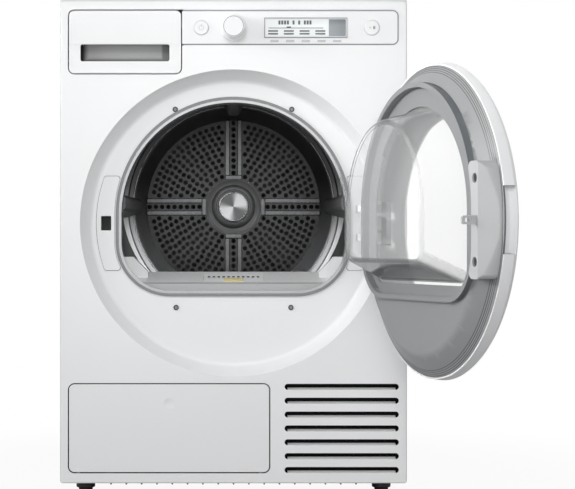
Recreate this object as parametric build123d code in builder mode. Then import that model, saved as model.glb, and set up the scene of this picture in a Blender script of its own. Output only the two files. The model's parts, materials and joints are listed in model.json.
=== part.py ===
"""Free-standing heat-pump clothes dryer with a round door, shown with the door standing open.

X runs to the right seen from the front, Y to the back and Z up. The origin is on the floor under the
middle of the cabinet. Depths are measured back from the front face of the cabinet. Millimetres.
"""

import os
from math import asin, cos, degrees, radians, sin

from build123d import *

os.makedirs("parts", exist_ok=True)

# Cabinet
CABINET_WIDTH = 595.0
CABINET_DEPTH = 600.0
CABINET_HEIGHT = 850.0
FOOT_HEIGHT = 21.0
SHEET = 1.0
PANEL_RETURN = 25.0
PANEL_EDGE = 2.5
PANEL_CORNER = 4.5
SIDE_FLANGE = 14.0
WORKTOP_LIP = 2.0
WORKTOP_SKIRT = 18.0
WORKTOP_WALL = 2.0
WORKTOP_EDGE = 1.2
SHADOW_GAP = 1.9
CLEARANCE = 0.5
RUNNING_FIT = 0.05

# Door recess and loading opening
DOOR_HEIGHT = 467.6
RECESS_RADIUS = 263.5
RECESS_FLOOR_RADIUS = 247.0
RECESS_DEPTH = 35.0
RECESS_BLEND = 9.0
OPENING_RADIUS = 196.7
OPENING_RISE = 15.1
OPENING_DROP = 134.3
OPENING_CORNER = 86.0
TRIM_WIDTH = 2.4
TRIM_DEPTH = 6.0
SEAL_WIDTH = 5.0
SEAL_HEIGHT = 3.0
LOCK_PLATE_HEIGHT = 163.0
LOCK_PLATE_INSET = 9.5
LOCK_PLATE_THICKNESS = 1.5
LOCK_PLATE_CORNER = 5.0
LATCH_HOLE_X = -220.8
LATCH_HOLE_WIDTH = 17.5
LATCH_HOLE_HEIGHT = 25.0
LATCH_HOLE_CORNER = 1.5
RECESS_SCREW_RADIUS = 4.0
SCREW_HEAD = 1.6
SCREW_EDGE = 1.0
RECESS_SCREWS = ((-101.0, 665.0), (101.0, 665.0), (-99.5, 321.5), (99.5, 321.5))

# Door, with depths of its shut position
DOOR_OPEN_ANGLE = 109.7
DOOR_RIM_RADIUS = 250.0
DOOR_SKIN_RADIUS = 252.0
DOOR_SKIN_PROUD = 15.5
DOOR_DOME_RADIUS = 216.0
DOOR_DOME_PROUD = 31.0
DOOR_FACE_PROUD = 34.0
DOOR_SKIN_WALL = 2.5
DOME_ROUNDNESS = 0.29
WINDOW_RADIUS = 166.0
WINDOW_THICKNESS = 4.0
HINGE_X = 240.0
HINGE_PROUD = 8.0
HINGE_PIN_RADIUS = 2.5
HINGE_BARREL_RADIUS = 5.0
HINGE_ARM_SPREAD = 48.0
HINGE_ARM_HEIGHT = 12.0
HINGE_ARM_THICKNESS = 5.0
HINGE_ARM_X = 214.0
HINGE_SLOT_REACH = 3.5
ARM_KNEE_X = 226.0
ARM_KNEE_PROUD = 16.0
ARM_ELBOW_PROUD = 6.0
CARRIER_PROUD = 20.0
CARRIER_HALF_HEIGHT = 36.0
LUG_THICKNESS = 5.0
TRIM_SHOULDER_RADIUS = 208.0
TRIM_SHOULDER_DEPTH = 23.0
TRIM_WALL = 2.5
RIDGE_COUNT = 4
RIDGE_PITCH = 3.0
RIDGE_HEIGHT = 1.2
RIDGE_LEAN = 1.3
COLLAR_RADIUS = 205.0
COLLAR_DROP = 140.0
COLLAR_WIDTH = 8.0
COLLAR_DEPTH = 31.5
COLLAR_CORNER = 84.0
BOWL_MOUTH_RADIUS = 164.0
BOWL_MOUTH_DROP = 112.0
BOWL_END_RADIUS = 143.0
BOWL_END_DROP = 79.0
BOWL_CORNER = 22.0
BOWL_END_DEPTH = 87.0
BOWL_WALL = 3.5
BOWL_EDGE = 10.0
BOWL_FLANGE = 12.0
LATCH_COVER_HEIGHT = 175.0
LATCH_COVER_DEPTH = 33.0
LATCH_COVER_CORNER = 10.0
LATCH_COVER_RADIUS = 244.0
LATCH_COVER_EDGE = 6.0
LATCH_SLOPE_X = -226.5
LATCH_SCREW_SPREAD = 124.0
LATCH_SCREW_RADIUS = 7.5
LATCH_SCREW_DEPTH = 6.0
HOOK_REACH = 24.0
HOOK_HEIGHT = 13.0
HOOK_THICKNESS = 5.0
HOOK_WINDOW_OFFSET = 13.9
HOOK_WINDOW_LENGTH = 9.6
HOOK_WINDOW_HEIGHT = 6.5
HOOK_TIP = 2.9
GRIP_HEIGHT = 101.0
GRIP_HOLLOW = 9.0
GRIP_LIP = 2.7
GRIP_FLANK = 6.3
GRIP_LEVELS = (5.5, 12.1, 18.7)

# Console: water drawer and control fascia
CONSOLE_MARGIN = 15.2
CONSOLE_TOP_MARGIN = 16.0
CONSOLE_CORNER = 9.5
FASCIA_HEIGHT = 58.0
FASCIA_RIM = 14.0
FASCIA_WALL = 2.5
FASCIA_FLANGE = 4.0
CROWN = 1.5
CROWN_DROP = 24.5
DRAWER_WIDTH = 193.2
DRAWER_HEIGHT = 107.6
SEAM_WIDTH = 1.2
SEAM_DEPTH = 1.2
HANDLE_WIDTH = 152.5
HANDLE_HEIGHT = 29.0
HANDLE_DEPTH = 24.0
HANDLE_WALL = 2.0
HANDLE_CORNER = 3.5
FINGER_RISE = 8.0
TANK_LENGTH = 440.0
TANK_WALL = 2.5
TANK_MARGIN = 4.0
TANK_FLOOR = 741.0
TANK_TOP = 824.0
TANK_ARC_RADIUS = 297.0
HOUSING_FRONT = 30.0
HOUSING_GAP = 1.0
HOUSING_WALL = 2.0
HOUSING_LIP = 12.0
HOUSING_TIE_INSET = 88.0
FILLER_RADIUS = 24.0
CONTROL_DROP = 29.5
KNOB_X = 0.0
KNOB_RADIUS = 23.1
KNOB_FACE_RADIUS = 18.9
KNOB_HEIGHT = 27.0
KNOB_SHAFT_RADIUS = 3.0
KNOB_SKIRT = 4.0
KNOB_TAPER = 1.6
KNOB_EDGE = 1.2
POINTER_WIDTH = 1.8
POINTER_CORNER = 0.7
POINTER_START = 7.6
POINTER_END = 15.1
POWER_X = -55.2
POWER_RADIUS = 12.5
START_MARGIN = 45.0
START_RADIUS = 13.0
BUTTON_PROUD = 1.2
BUTTON_CATCH = 3.0
DISPLAY_X = 124.0
DISPLAY_WIDTH = 137.2
DISPLAY_HEIGHT = 29.1
DISPLAY_THICKNESS = 2.0
DISPLAY_CORNER = 2.0
KEY_COUNT = 5
KEY_PITCH = 26.9
KEY_WIDTH = 14.6
KEY_HEIGHT = 4.0
KEY_PROUD = 0.6
KEY_CORNER = 1.6
KEY_DROP = 52.3

# Lower front: flap and air grille
FLAP_WIDTH = 343.6
FLAP_HEIGHT = 150.9
FLAP_BOTTOM = 40.1
FLAP_CORNER = 9.8
FLAP_WALL = 2.5
FLAP_RIM = 11.0
FLAP_HINGE_DROP = 8.0
FLAP_HINGE_DEPTH = 5.0
FLAP_PIN_RADIUS = 2.0
FLAP_LIP = 1.0
FLAP_STEP = 1.5
FLAP_EDGE = 0.8
FLAP_ARM_INSET = 12.0
FLAP_ARM_WIDTH = 6.0
FLAP_ARM_REACH = 7.5
FLAP_ARM_THICKNESS = 3.0
FLAP_ARM_RISE = 28.0
PUSH_MARK_X = -109.9
PUSH_MARK_Z = 157.8
PUSH_MARK_SPHERE = 40.0
PUSH_MARK_DEPTH = 1.5
SLOT_COUNT = 7
SLOT_PITCH = 23.78
SLOT_WIDTH = 195.8
SLOT_HEIGHT = 10.3
SLOT_TOP = 191.7
SLOT_MARGIN = 14.0
LOUVRE_RISE = 3.3
LOUVRE_DEPTH = 11.0
SLEEVE_DEPTH = 40.0
SLEEVE_WALL = 2.0
SLEEVE_DROP = 4.0
TROUGH_DEPTH = 22.0
TROUGH_DROP = 4.0
COVER_THICKNESS = 4.0
LEVER_LENGTH = 62.0
LEVER_WIDTH = 14.0
LEVER_THICKNESS = 8.0
LEVER_CORNER = 6.3
LEVER_INSET = 42.0
LEVER_SHAFT_RADIUS = 4.0

# Drum, its drive and its air path
DRUM_AXIS_HEIGHT = 505.0
DRUM_RADIUS = 283.0
DRUM_FRONT_DEPTH = 113.0
DRUM_LENGTH = 412.0
DRUM_SHEET = 1.2
DRUM_LIP_RADIUS = 198.0
DRUM_BEAD = 2.0
DRUM_BEAD_PLACES = (123.6, 337.8)
PERFORATED_RADIUS = 173.0
DISH_RADIUS = 196.0
DISH_RISE = 22.0
HUB_RADIUS = 54.0
HUB_RISE = 16.0
HUB_SHOULDER = 6.4
HUB_LEAN = 3.2
HUB_FACE = 6.4
CAP_RADIUS = 32.0
CAP_GROOVE = 3.2
CAP_CROWN = 1.6
CAP_INSET = 4.8
SPOKE_WIDTH = 28.0
SPOKE_RISE = 4.0
SPOKE_RAIL = 6.0
HOLE_RADIUS = 5.0
HOLE_RINGS = 5
HOLE_RING_PITCH = 22.0
HOLE_PITCH = 30.0
HUB_BORE = 20.0
WALL_STEP = 3.0
LIFTER_COUNT = 4
LIFTER_FRONT_CREST = 192.0
LIFTER_REAR_CREST = 180.0
LIFTER_CREST_WIDTH = 24.0
LIFTER_BASE_WIDTH = 84.0
LIFTER_END_GAP = 8.0
LIFTER_WALL = 3.0
LIFTER_ROUNDNESS = 0.8
SHAFT_RADIUS = 10.0
SHAFT_LENGTH = 62.0
CROSS_SETBACK = 45.0
BEARING_RADIUS = 21.0
BEARING_WIDTH = 15.0
BRACKET_ARM_WIDTH = 40.0
BRACKET_ARM_THICKNESS = 6.0
BRACKET_REACH = 241.0
BRACKET_TILT = 45.0
REAR_HOLE_RADIUS = 215.0
DUCT_COVER_RADIUS = 246.0
DUCT_COVER_FLANGE = 14.0
DUCT_COVER_RISE = 18.0
COVER_RIBS = 6
COVER_RIB_WIDTH = 14.0
COVER_RIB_CIRCLE = 118.0
COVER_RIB_LENGTH = 118.0
VENT_HEIGHT = 130.0
VENT_COUNT = 5
VENT_PITCH = 18.0
VENT_WIDTH = 240.0
FELT_THICKNESS = 6.0
TUNNEL_WALL = 3.0
TUNNEL_FLANGE_RADIUS = 262.0
BULKHEAD_SHEET = 1.2
BULKHEAD_BOTTOM = 206.0
BULKHEAD_TOP = 722.0
BULKHEAD_HALF = 293.0
LEDGE_TOP = 409.0
LEDGE_RISE = 34.0
LEDGE_STEP = 14.0
LOBE_DEPTH = 76.0
LOBE_INNER = 150.0
LOBE_CREST = 176.0
FILTER_WIDTH = 104.0
FILTER_THICKNESS = 34.0
FILTER_DEPTH = 74.0
FILTER_BOTTOM = 236.0
FILTER_WALL = 2.0
FILTER_SLOTS = 11
FILTER_SLOT_DEPTH = 80.0
FILTER_SLOT_PITCH = 8.6
FILTER_SLOT_LENGTH = 9.0
TAB_WIDTH = 33.0
TAB_LENGTH = 6.0
TAB_THICKNESS = 2.5
ROLLER_RADIUS = 30.0
ROLLER_WIDTH = 18.0
ROLLER_BEVEL = 3.6
ROLLER_SETBACK = 5.0
ROLLER_ANGLE = 35.0
AXLE_RADIUS = 5.0
BELT_WIDTH = 12.0
BELT_THICKNESS = 3.0
BELT_DEPTH = 330.0
PULLEY_RADIUS = 12.0
MOTOR_X = 185.0
MOTOR_HEIGHT = 128.0
MOTOR_RADIUS = 55.0
MOTOR_LENGTH = 92.0
MOTOR_NOSE = 13.8
MOTOR_NOSE_RADIUS = 27.5
MOTOR_BEVEL = 4.6
MOTOR_BEVEL_RADIUS = 49.5
SADDLE_HALF_WIDTH = 44.0
SADDLE_SETBACK = 27.6
SADDLE_LENGTH = 36.8
MOTOR_SHAFT_RADIUS = 6.0
IDLER_X = 92.0
IDLER_HEIGHT = 160.0
IDLER_RADIUS = 18.0
FAN_RADIUS = 72.0
FAN_WIDTH = 46.0
FAN_BLADES = 16
FAN_WALL = 2.5
FAN_SETBACK = 15.0
FAN_BLADE_LEAN = 35.0
FAN_BLADE_CIRCLE = 57.6
FAN_BLADE_LENGTH = 23.0

# Base, heat pump and services
BASE_FLOOR = 4.0
BASE_WALL = 3.0
BASE_WALL_HEIGHT = 40.0
BASE_FRONT_DEPTH = 28.0
BASE_WALL_DEPTH = 46.0
RIB_COUNT = 17
RIB_PITCH = 26.3
RIB_WIDTH = 2.5
RIB_DROP = 2.0
RIB_LENGTH = 110.0
FOOT_INSET = 40.2
FOOT_SETBACK = 50.5
FOOT_PAD_RADIUS = 12.0
FOOT_COLLAR_RADIUS = 16.3
FOOT_COLLAR_HEIGHT = 11.5
FOOT_STUD_RADIUS = 5.0
FOOT_STUD_LENGTH = 7.0
FOOT_BEVEL = 2.0
EXCHANGER_LEFT = -232.0
EXCHANGER_WIDTH = 246.0
EXCHANGER_TOP = 180.0
EVAPORATOR_DEPTH = 62.0
EVAPORATOR_LENGTH = 120.0
CONDENSER_DEPTH = 196.0
CONDENSER_LENGTH = 124.0
FIN_COUNT = 10
FIN_PITCH = 22.0
FIN_GAP = 16.0
FIN_HEIGHT = 130.0
FIN_CORNER = 4.0
COMPRESSOR_X = 175.0
COMPRESSOR_DEPTH = 455.0
COMPRESSOR_RADIUS = 62.0
COMPRESSOR_HEIGHT = 150.0
COMPRESSOR_DOME = 24.8
COMPRESSOR_FOOT = 136.4
SPIGOT_FLANGE = 4.0
SPIGOT_RADIUS = 9.0
SPIGOT_BORE = 6.0
SPIGOT_LENGTH = 24.0
SPIGOT_X = -230.0
SPIGOT_HEIGHT = 780.0
INLET_X = 230.0
INLET_HEIGHT = 780.0
INLET_RADIUS = 14.0
INLET_FLANGE_RADIUS = 22.4
INLET_BOSS_RADIUS = 11.9

# Places that follow from the sizes above
FRONT_Y = -CABINET_DEPTH / 2
HALF_WIDTH = CABINET_WIDTH / 2
INNER_HALF = HALF_WIDTH - SHEET
PANEL_TOP = CABINET_HEIGHT - WORKTOP_LIP
SIDE_TOP = PANEL_TOP - WORKTOP_SKIRT
BASE_BOTTOM = FOOT_HEIGHT + SHEET
BASE_TOP = BASE_BOTTOM + BASE_FLOOR
FLOOR_BACK = RECESS_DEPTH + SHEET
REAR_INSIDE = CABINET_DEPTH - SHEET
OPENING_Z = DOOR_HEIGHT + OPENING_RISE
CONSOLE_TOP = PANEL_TOP - CONSOLE_TOP_MARGIN
CONSOLE_LEFT = -HALF_WIDTH + CONSOLE_MARGIN
CONSOLE_RIGHT = HALF_WIDTH - CONSOLE_MARGIN
FASCIA_BOTTOM = CONSOLE_TOP - FASCIA_HEIGHT
DRAWER_EDGE = CONSOLE_LEFT + DRAWER_WIDTH - SHADOW_GAP / 2
FASCIA_LEFT = DRAWER_EDGE + SHADOW_GAP
DRAWER_BOTTOM = CONSOLE_TOP - DRAWER_HEIGHT
CONTROL_Z = CONSOLE_TOP - CONTROL_DROP
START_X = CONSOLE_RIGHT - START_MARGIN
FLAP_LEFT = CONSOLE_LEFT
FLAP_RIGHT = FLAP_LEFT + FLAP_WIDTH
FLAP_TOP = FLAP_BOTTOM + FLAP_HEIGHT
FLAP_Z = (FLAP_BOTTOM + FLAP_TOP) / 2
SLOT_X = HALF_WIDTH - SLOT_MARGIN - SLOT_WIDTH / 2
DRUM_REAR_DEPTH = DRUM_FRONT_DEPTH + DRUM_LENGTH
DRUM_INNER = DRUM_RADIUS - DRUM_SHEET
WALL_DEPTH = DRUM_REAR_DEPTH - DRUM_BEAD
TUNNEL_BACK = DRUM_FRONT_DEPTH - FELT_THICKNESS / 2
ROLLER_ORBIT = DRUM_RADIUS + ROLLER_RADIUS + CLEARANCE
ROLLER_X = ROLLER_ORBIT * sin(radians(ROLLER_ANGLE))
ROLLER_Z = DRUM_AXIS_HEIGHT - ROLLER_ORBIT * cos(radians(ROLLER_ANGLE))
FOOT_SPREAD_X = CABINET_WIDTH - 2 * FOOT_INSET
FOOT_SPREAD_Y = CABINET_DEPTH - 2 * FOOT_SETBACK
HINGE_AXIS = Axis((HINGE_X, FRONT_Y - HINGE_PROUD, 0), (0, 0, 1))


def front(depth):
    """Return the upright plane at a depth, drawn as seen from the front."""
    return Plane(origin=(0, FRONT_Y + depth, 0), x_dir=(1, 0, 0), z_dir=(0, -1, 0))


def spin_axis(x, z):
    """Return the front-to-back axis through a point of the front view."""
    return Axis((x, 0, z), (0, 1, 0))


def plate(outline, depth, thickness, mode=Mode.ADD):
    """Add or cut a plate with an outline of the front view, from a depth backwards."""
    with BuildSketch(front(depth)) as face:
        add(outline)
    extrude(face.sketch, amount=-thickness, mode=mode)


def turn(points, x, z, mode=Mode.ADD):
    """Add or cut a body turned about a front-to-back axis, from depth and radius pairs."""
    with BuildSketch(Plane.YZ.offset(x)) as profile:
        with BuildLine():
            Polyline(*[(FRONT_Y + depth, z + radius) for depth, radius in points], close=True)
        make_face()
    revolve(profile.sketch, axis=spin_axis(x, z), mode=mode)


def bar(points, left, width, mode=Mode.ADD):
    """Add or cut a bar along X whose section is given as depth and height pairs."""
    with BuildSketch(Plane.YZ.offset(left)) as profile:
        with BuildLine():
            Polyline(*[(FRONT_Y + depth, height) for depth, height in points], close=True)
        make_face()
    extrude(profile.sketch, amount=width, mode=mode)


def disc(x, z, radius):
    """Return a round outline of the front view."""
    with BuildSketch(Plane.XY) as outline:
        with Locations((x, z)):
            Circle(radius)
    return outline.sketch


def rounded(left, right, bottom, top, radius):
    """Return a rectangular outline with rounded corners."""
    with BuildSketch(Plane.XY) as outline:
        with Locations(((left + right) / 2, (bottom + top) / 2)):
            RectangleRounded(right - left, top - bottom, radius)
    return outline.sketch


def grown(outline, amount):
    """Return an outline grown by an amount, or shrunk by a negative one."""
    with BuildSketch(Plane.XY) as result:
        add(outline)
        offset(amount=amount)
    return result.sketch


def arch(radius, drop, corner):
    """Return the loading opening's outline: round above, flat below, with wide lower corners."""
    with BuildSketch(Plane.XY) as outline:
        with BuildLine():
            CenterArc((0, OPENING_Z), radius, 0, 180)
            Polyline(
                (-radius, OPENING_Z),
                (-radius, OPENING_Z - drop),
                (radius, OPENING_Z - drop),
                (radius, OPENING_Z),
            )
        make_face()
        fillet(outline.vertices().group_by(Axis.Y)[0], corner)
    return outline.sketch


def grown_arch(extra):
    """Return the loading opening's outline grown by a margin."""
    return arch(OPENING_RADIUS + extra, OPENING_DROP + extra, OPENING_CORNER + extra)


def crescent(side):
    """Return the cover plate outline between the opening and the recess edge, on one side."""
    with BuildSketch(Plane.XY) as outline:
        with Locations((0, DOOR_HEIGHT)):
            Circle(RECESS_FLOOR_RADIUS - LOCK_PLATE_INSET)
        add(grown_arch(LOCK_PLATE_INSET), mode=Mode.SUBTRACT)
        with Locations((side * RECESS_FLOOR_RADIUS, DOOR_HEIGHT)):
            Rectangle(RECESS_FLOOR_RADIUS, LOCK_PLATE_HEIGHT, mode=Mode.INTERSECT)
        ends = outline.vertices().group_by(Axis.Y)
        fillet(ends[0] + ends[-1], LOCK_PLATE_CORNER)
    return outline.sketch


def console_outline(margin):
    """Return the outline of the drawer and fascia together, grown by a margin."""
    corner = (DRAWER_EDGE + margin, FASCIA_BOTTOM - margin)
    with BuildSketch(Plane.XY) as outline:
        with BuildLine():
            Polyline(
                (CONSOLE_LEFT - margin, CONSOLE_TOP + margin),
                (CONSOLE_RIGHT + margin, CONSOLE_TOP + margin),
                (CONSOLE_RIGHT + margin, FASCIA_BOTTOM - margin),
                corner,
                (DRAWER_EDGE + margin, DRAWER_BOTTOM - margin),
                (CONSOLE_LEFT - margin, DRAWER_BOTTOM - margin),
                close=True,
            )
        make_face()
        fillet(outline.vertices().sort_by_distance((*corner, 0))[1:], CONSOLE_CORNER + margin)
    return outline.sketch


def crowned(left, right):
    """Cut the console's gently creased front face out of a piece."""
    crease = CONSOLE_TOP - CROWN_DROP
    above = CONSOLE_TOP + CROWN_DROP
    bar(
        [(-CROWN, crease), (0, CONSOLE_TOP), (0, above), (-2 * CROWN, above), (-2 * CROWN, crease)],
        left, right - left, Mode.SUBTRACT,
    )
    bar(
        [(-CROWN, crease), (-2 * CROWN, crease), (-2 * CROWN, FASCIA_BOTTOM), (0, FASCIA_BOTTOM)],
        left, right - left, Mode.SUBTRACT,
    )


opening = grown_arch(0)

# Base tray with its low walls, foot bosses and the ribs that show under the front edge
with BuildPart() as base_tray:
    with BuildSketch(Plane.XY.offset(BASE_BOTTOM)):
        with Locations((0, FRONT_Y + BASE_FRONT_DEPTH)):
            Rectangle(2 * INNER_HALF, REAR_INSIDE - BASE_FRONT_DEPTH, align=(Align.CENTER, Align.MIN))
    extrude(amount=BASE_FLOOR)
    with BuildSketch(Plane.XY.offset(BASE_TOP)):
        with Locations((0, FRONT_Y + BASE_WALL_DEPTH)):
            Rectangle(2 * INNER_HALF, REAR_INSIDE - BASE_WALL_DEPTH, align=(Align.CENTER, Align.MIN))
        offset(amount=-BASE_WALL, mode=Mode.SUBTRACT)
    extrude(amount=BASE_WALL_HEIGHT)
    for rib in range(RIB_COUNT):
        bar(
            [
                (SHEET, FOOT_HEIGHT - RIB_DROP),
                (RIB_LENGTH, FOOT_HEIGHT - RIB_DROP),
                (RIB_LENGTH, BASE_BOTTOM),
                (BASE_FRONT_DEPTH, BASE_BOTTOM),
                (BASE_FRONT_DEPTH, FOOT_HEIGHT),
                (SHEET, FOOT_HEIGHT),
            ],
            (rib - (RIB_COUNT - 1) / 2) * RIB_PITCH - RIB_WIDTH / 2, RIB_WIDTH,
        )
    foot_places = GridLocations(FOOT_SPREAD_X, FOOT_SPREAD_Y, 2, 2)
    with BuildSketch(Plane.XY.offset(BASE_TOP)):
        with foot_places:
            Circle(FOOT_COLLAR_RADIUS)
    extrude(amount=FOOT_STUD_LENGTH)
    with BuildSketch(Plane.XY.offset(BASE_BOTTOM)):
        with foot_places:
            Circle(FOOT_STUD_RADIUS + RUNNING_FIT)
    extrude(amount=FOOT_STUD_LENGTH + BASE_FLOOR, mode=Mode.SUBTRACT)
base_tray.part.label = "base_tray"
export_step(base_tray.part, "parts/base_tray.step")

# Screw-in feet: rubber pad, wide collar and stud
with BuildPart() as feet:
    with BuildSketch(Plane.XZ):
        with BuildLine():
            Polyline(
                (0, 0),
                (FOOT_PAD_RADIUS - FOOT_BEVEL, 0),
                (FOOT_PAD_RADIUS, FOOT_BEVEL),
                (FOOT_PAD_RADIUS, FOOT_HEIGHT - FOOT_COLLAR_HEIGHT - FOOT_BEVEL),
                (FOOT_COLLAR_RADIUS, FOOT_HEIGHT - FOOT_COLLAR_HEIGHT),
                (FOOT_COLLAR_RADIUS, BASE_BOTTOM),
                (FOOT_STUD_RADIUS, BASE_BOTTOM),
                (FOOT_STUD_RADIUS, BASE_TOP + FOOT_STUD_LENGTH - FOOT_BEVEL),
                (0, BASE_TOP + FOOT_STUD_LENGTH - FOOT_BEVEL),
                close=True,
            )
        make_face()
    foot = revolve(axis=Axis.Z, mode=Mode.PRIVATE)
    with GridLocations(FOOT_SPREAD_X, FOOT_SPREAD_Y, 2, 2):
        add(foot)
feet.part.label = "feet"
export_step(feet.part, "parts/feet.step")

# Side panels: flanged sheets behind the front panel's returns
with BuildPart() as right_side_panel:
    with BuildSketch(front(PANEL_RETURN)):
        with BuildLine():
            Polyline(
                (HALF_WIDTH, FOOT_HEIGHT),
                (HALF_WIDTH, SIDE_TOP),
                (HALF_WIDTH - SIDE_FLANGE, SIDE_TOP),
                (HALF_WIDTH - SIDE_FLANGE, SIDE_TOP - SHEET),
                (INNER_HALF, SIDE_TOP - SHEET),
                (INNER_HALF, BASE_BOTTOM),
                (HALF_WIDTH - SIDE_FLANGE, BASE_BOTTOM),
                (HALF_WIDTH - SIDE_FLANGE, FOOT_HEIGHT),
                close=True,
            )
        make_face()
    extrude(amount=-(REAR_INSIDE - PANEL_RETURN))
right_side_panel.part.label = "right_side_panel"
export_step(right_side_panel.part, "parts/right_side_panel.step")

with BuildPart() as left_side_panel:
    mirror(right_side_panel.part, about=Plane.YZ)
left_side_panel.part.label = "left_side_panel"
export_step(left_side_panel.part, "parts/left_side_panel.step")

# Worktop: thin plate over the front panel with a skirt on the sides and back
with BuildPart() as worktop:
    with BuildSketch(Plane.XY.offset(PANEL_TOP)):
        Rectangle(CABINET_WIDTH, CABINET_DEPTH)
    extrude(amount=WORKTOP_LIP)
    fillet(worktop.edges().filter_by(Axis.Z), PANEL_CORNER)
    fillet(worktop.faces().sort_by(Axis.Z)[-1].edges(), WORKTOP_EDGE)
    with BuildSketch(Plane.XY.offset(PANEL_TOP)):
        with Locations((0, FRONT_Y + PANEL_RETURN)):
            Rectangle(CABINET_WIDTH, CABINET_DEPTH - PANEL_RETURN, align=(Align.CENTER, Align.MIN))
            Rectangle(
                CABINET_WIDTH - 2 * WORKTOP_WALL, CABINET_DEPTH - PANEL_RETURN - WORKTOP_WALL,
                align=(Align.CENTER, Align.MIN), mode=Mode.SUBTRACT,
            )
    extrude(amount=-WORKTOP_SKIRT)
worktop.part.label = "worktop"
export_step(worktop.part, "parts/worktop.step")

# Front panel: returned sheet with the dished recess, console cut-out, flap cut-out and air grille
with BuildPart() as front_panel:
    plate(rounded(-HALF_WIDTH, HALF_WIDTH, FOOT_HEIGHT, PANEL_TOP, PANEL_CORNER), 0, PANEL_RETURN)
    fillet(front_panel.faces().sort_by(Axis.Y)[0].edges(), PANEL_EDGE)
    plate(
        rounded(-INNER_HALF, INNER_HALF, BASE_BOTTOM, PANEL_TOP - SHEET, PANEL_CORNER - SHEET),
        SHEET, PANEL_RETURN, Mode.SUBTRACT,
    )
    plate(disc(0, DOOR_HEIGHT, RECESS_RADIUS), 0, SHEET, Mode.SUBTRACT)
    with BuildSketch(Plane.YZ) as recess_profile:
        with BuildLine():
            Polyline(
                (FRONT_Y, DOOR_HEIGHT + RECESS_RADIUS),
                (FRONT_Y + RECESS_DEPTH, DOOR_HEIGHT + RECESS_FLOOR_RADIUS),
                (FRONT_Y + RECESS_DEPTH, DOOR_HEIGHT),
                (FRONT_Y + FLOOR_BACK, DOOR_HEIGHT),
                (FRONT_Y + FLOOR_BACK, DOOR_HEIGHT + RECESS_FLOOR_RADIUS + SHEET / 2),
                (FRONT_Y + SHEET, DOOR_HEIGHT + RECESS_RADIUS + SHEET),
                (FRONT_Y, DOOR_HEIGHT + RECESS_RADIUS + SHEET),
                close=True,
            )
        make_face()
        recess_bend = (FRONT_Y + RECESS_DEPTH, DOOR_HEIGHT + RECESS_FLOOR_RADIUS)
        fillet(recess_profile.vertices().sort_by_distance((*recess_bend, 0))[0], RECESS_BLEND)
    revolve(axis=spin_axis(0, DOOR_HEIGHT))
    plate(opening, RECESS_DEPTH, SHEET, Mode.SUBTRACT)
    plate(console_outline(SHADOW_GAP), 0, SHEET, Mode.SUBTRACT)
    plate(
        rounded(
            FLAP_LEFT - SHADOW_GAP, FLAP_RIGHT + SHADOW_GAP, FLAP_BOTTOM - SHADOW_GAP,
            FLAP_TOP + SHADOW_GAP, FLAP_CORNER + SHADOW_GAP,
        ),
        0, SHEET, Mode.SUBTRACT,
    )
    with BuildSketch(front(0)):
        with Locations((SLOT_X, SLOT_TOP - SLOT_HEIGHT / 2 - (SLOT_COUNT - 1) * SLOT_PITCH / 2)):
            with GridLocations(0, SLOT_PITCH, 1, SLOT_COUNT):
                SlotOverall(SLOT_WIDTH, SLOT_HEIGHT)
    extrude(amount=-SHEET, mode=Mode.SUBTRACT)
    for slot in range(SLOT_COUNT):
        slot_bottom = SLOT_TOP - SLOT_HEIGHT - slot * SLOT_PITCH
        bar(
            [
                (SHEET / 2, slot_bottom - SHEET),
                (SHEET, slot_bottom),
                (LOUVRE_DEPTH, slot_bottom + LOUVRE_RISE),
                (LOUVRE_DEPTH, slot_bottom + LOUVRE_RISE - SHEET),
                (SHEET, slot_bottom - SHEET),
            ],
            SLOT_X - (SLOT_WIDTH - SLOT_HEIGHT) / 2, SLOT_WIDTH - SLOT_HEIGHT,
        )
    latch_hole = rounded(
        LATCH_HOLE_X - LATCH_HOLE_WIDTH / 2, LATCH_HOLE_X + LATCH_HOLE_WIDTH / 2,
        DOOR_HEIGHT - LATCH_HOLE_HEIGHT / 2, DOOR_HEIGHT + LATCH_HOLE_HEIGHT / 2, LATCH_HOLE_CORNER,
    )
    plate(latch_hole, RECESS_DEPTH, SHEET, Mode.SUBTRACT)
front_panel.part.label = "front_panel"
export_step(front_panel.part, "parts/front_panel.step")

# Screws in the recess floor, with shallow round heads
with BuildPart() as recess_screws:
    for screw_x, screw_z in RECESS_SCREWS:
        plate(disc(screw_x, screw_z, RECESS_SCREW_RADIUS), RECESS_DEPTH - SCREW_HEAD, SCREW_HEAD)
    fillet(recess_screws.faces().filter_by(Axis.Y).group_by(Axis.Y)[0].edges(), SCREW_EDGE)
recess_screws.part.label = "recess_screws"
export_step(recess_screws.part, "parts/recess_screws.step")

# Cover plates over the lock and the hinge
with BuildPart() as lock_plate:
    plate(crescent(-1), RECESS_DEPTH - LOCK_PLATE_THICKNESS, LOCK_PLATE_THICKNESS)
    plate(latch_hole, 0, RECESS_DEPTH, Mode.SUBTRACT)
lock_plate.part.label = "lock_plate"
export_step(lock_plate.part, "parts/lock_plate.step")

arm_heights = [DOOR_HEIGHT + side * HINGE_ARM_SPREAD / 2 for side in (-1, 1)]
arm_slots = Sketch() + [
    rounded(
        HINGE_ARM_X - HINGE_ARM_THICKNESS, HINGE_ARM_X + HINGE_ARM_THICKNESS,
        height - HINGE_ARM_HEIGHT / 2, height + HINGE_ARM_HEIGHT / 2, CLEARANCE,
    )
    for height in arm_heights
]
with BuildPart() as hinge_plate:
    plate(crescent(1), RECESS_DEPTH - LOCK_PLATE_THICKNESS, LOCK_PLATE_THICKNESS)
    plate(arm_slots, 0, RECESS_DEPTH, Mode.SUBTRACT)
hinge_plate.part.label = "hinge_plate"
export_step(hinge_plate.part, "parts/hinge_plate.step")

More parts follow.
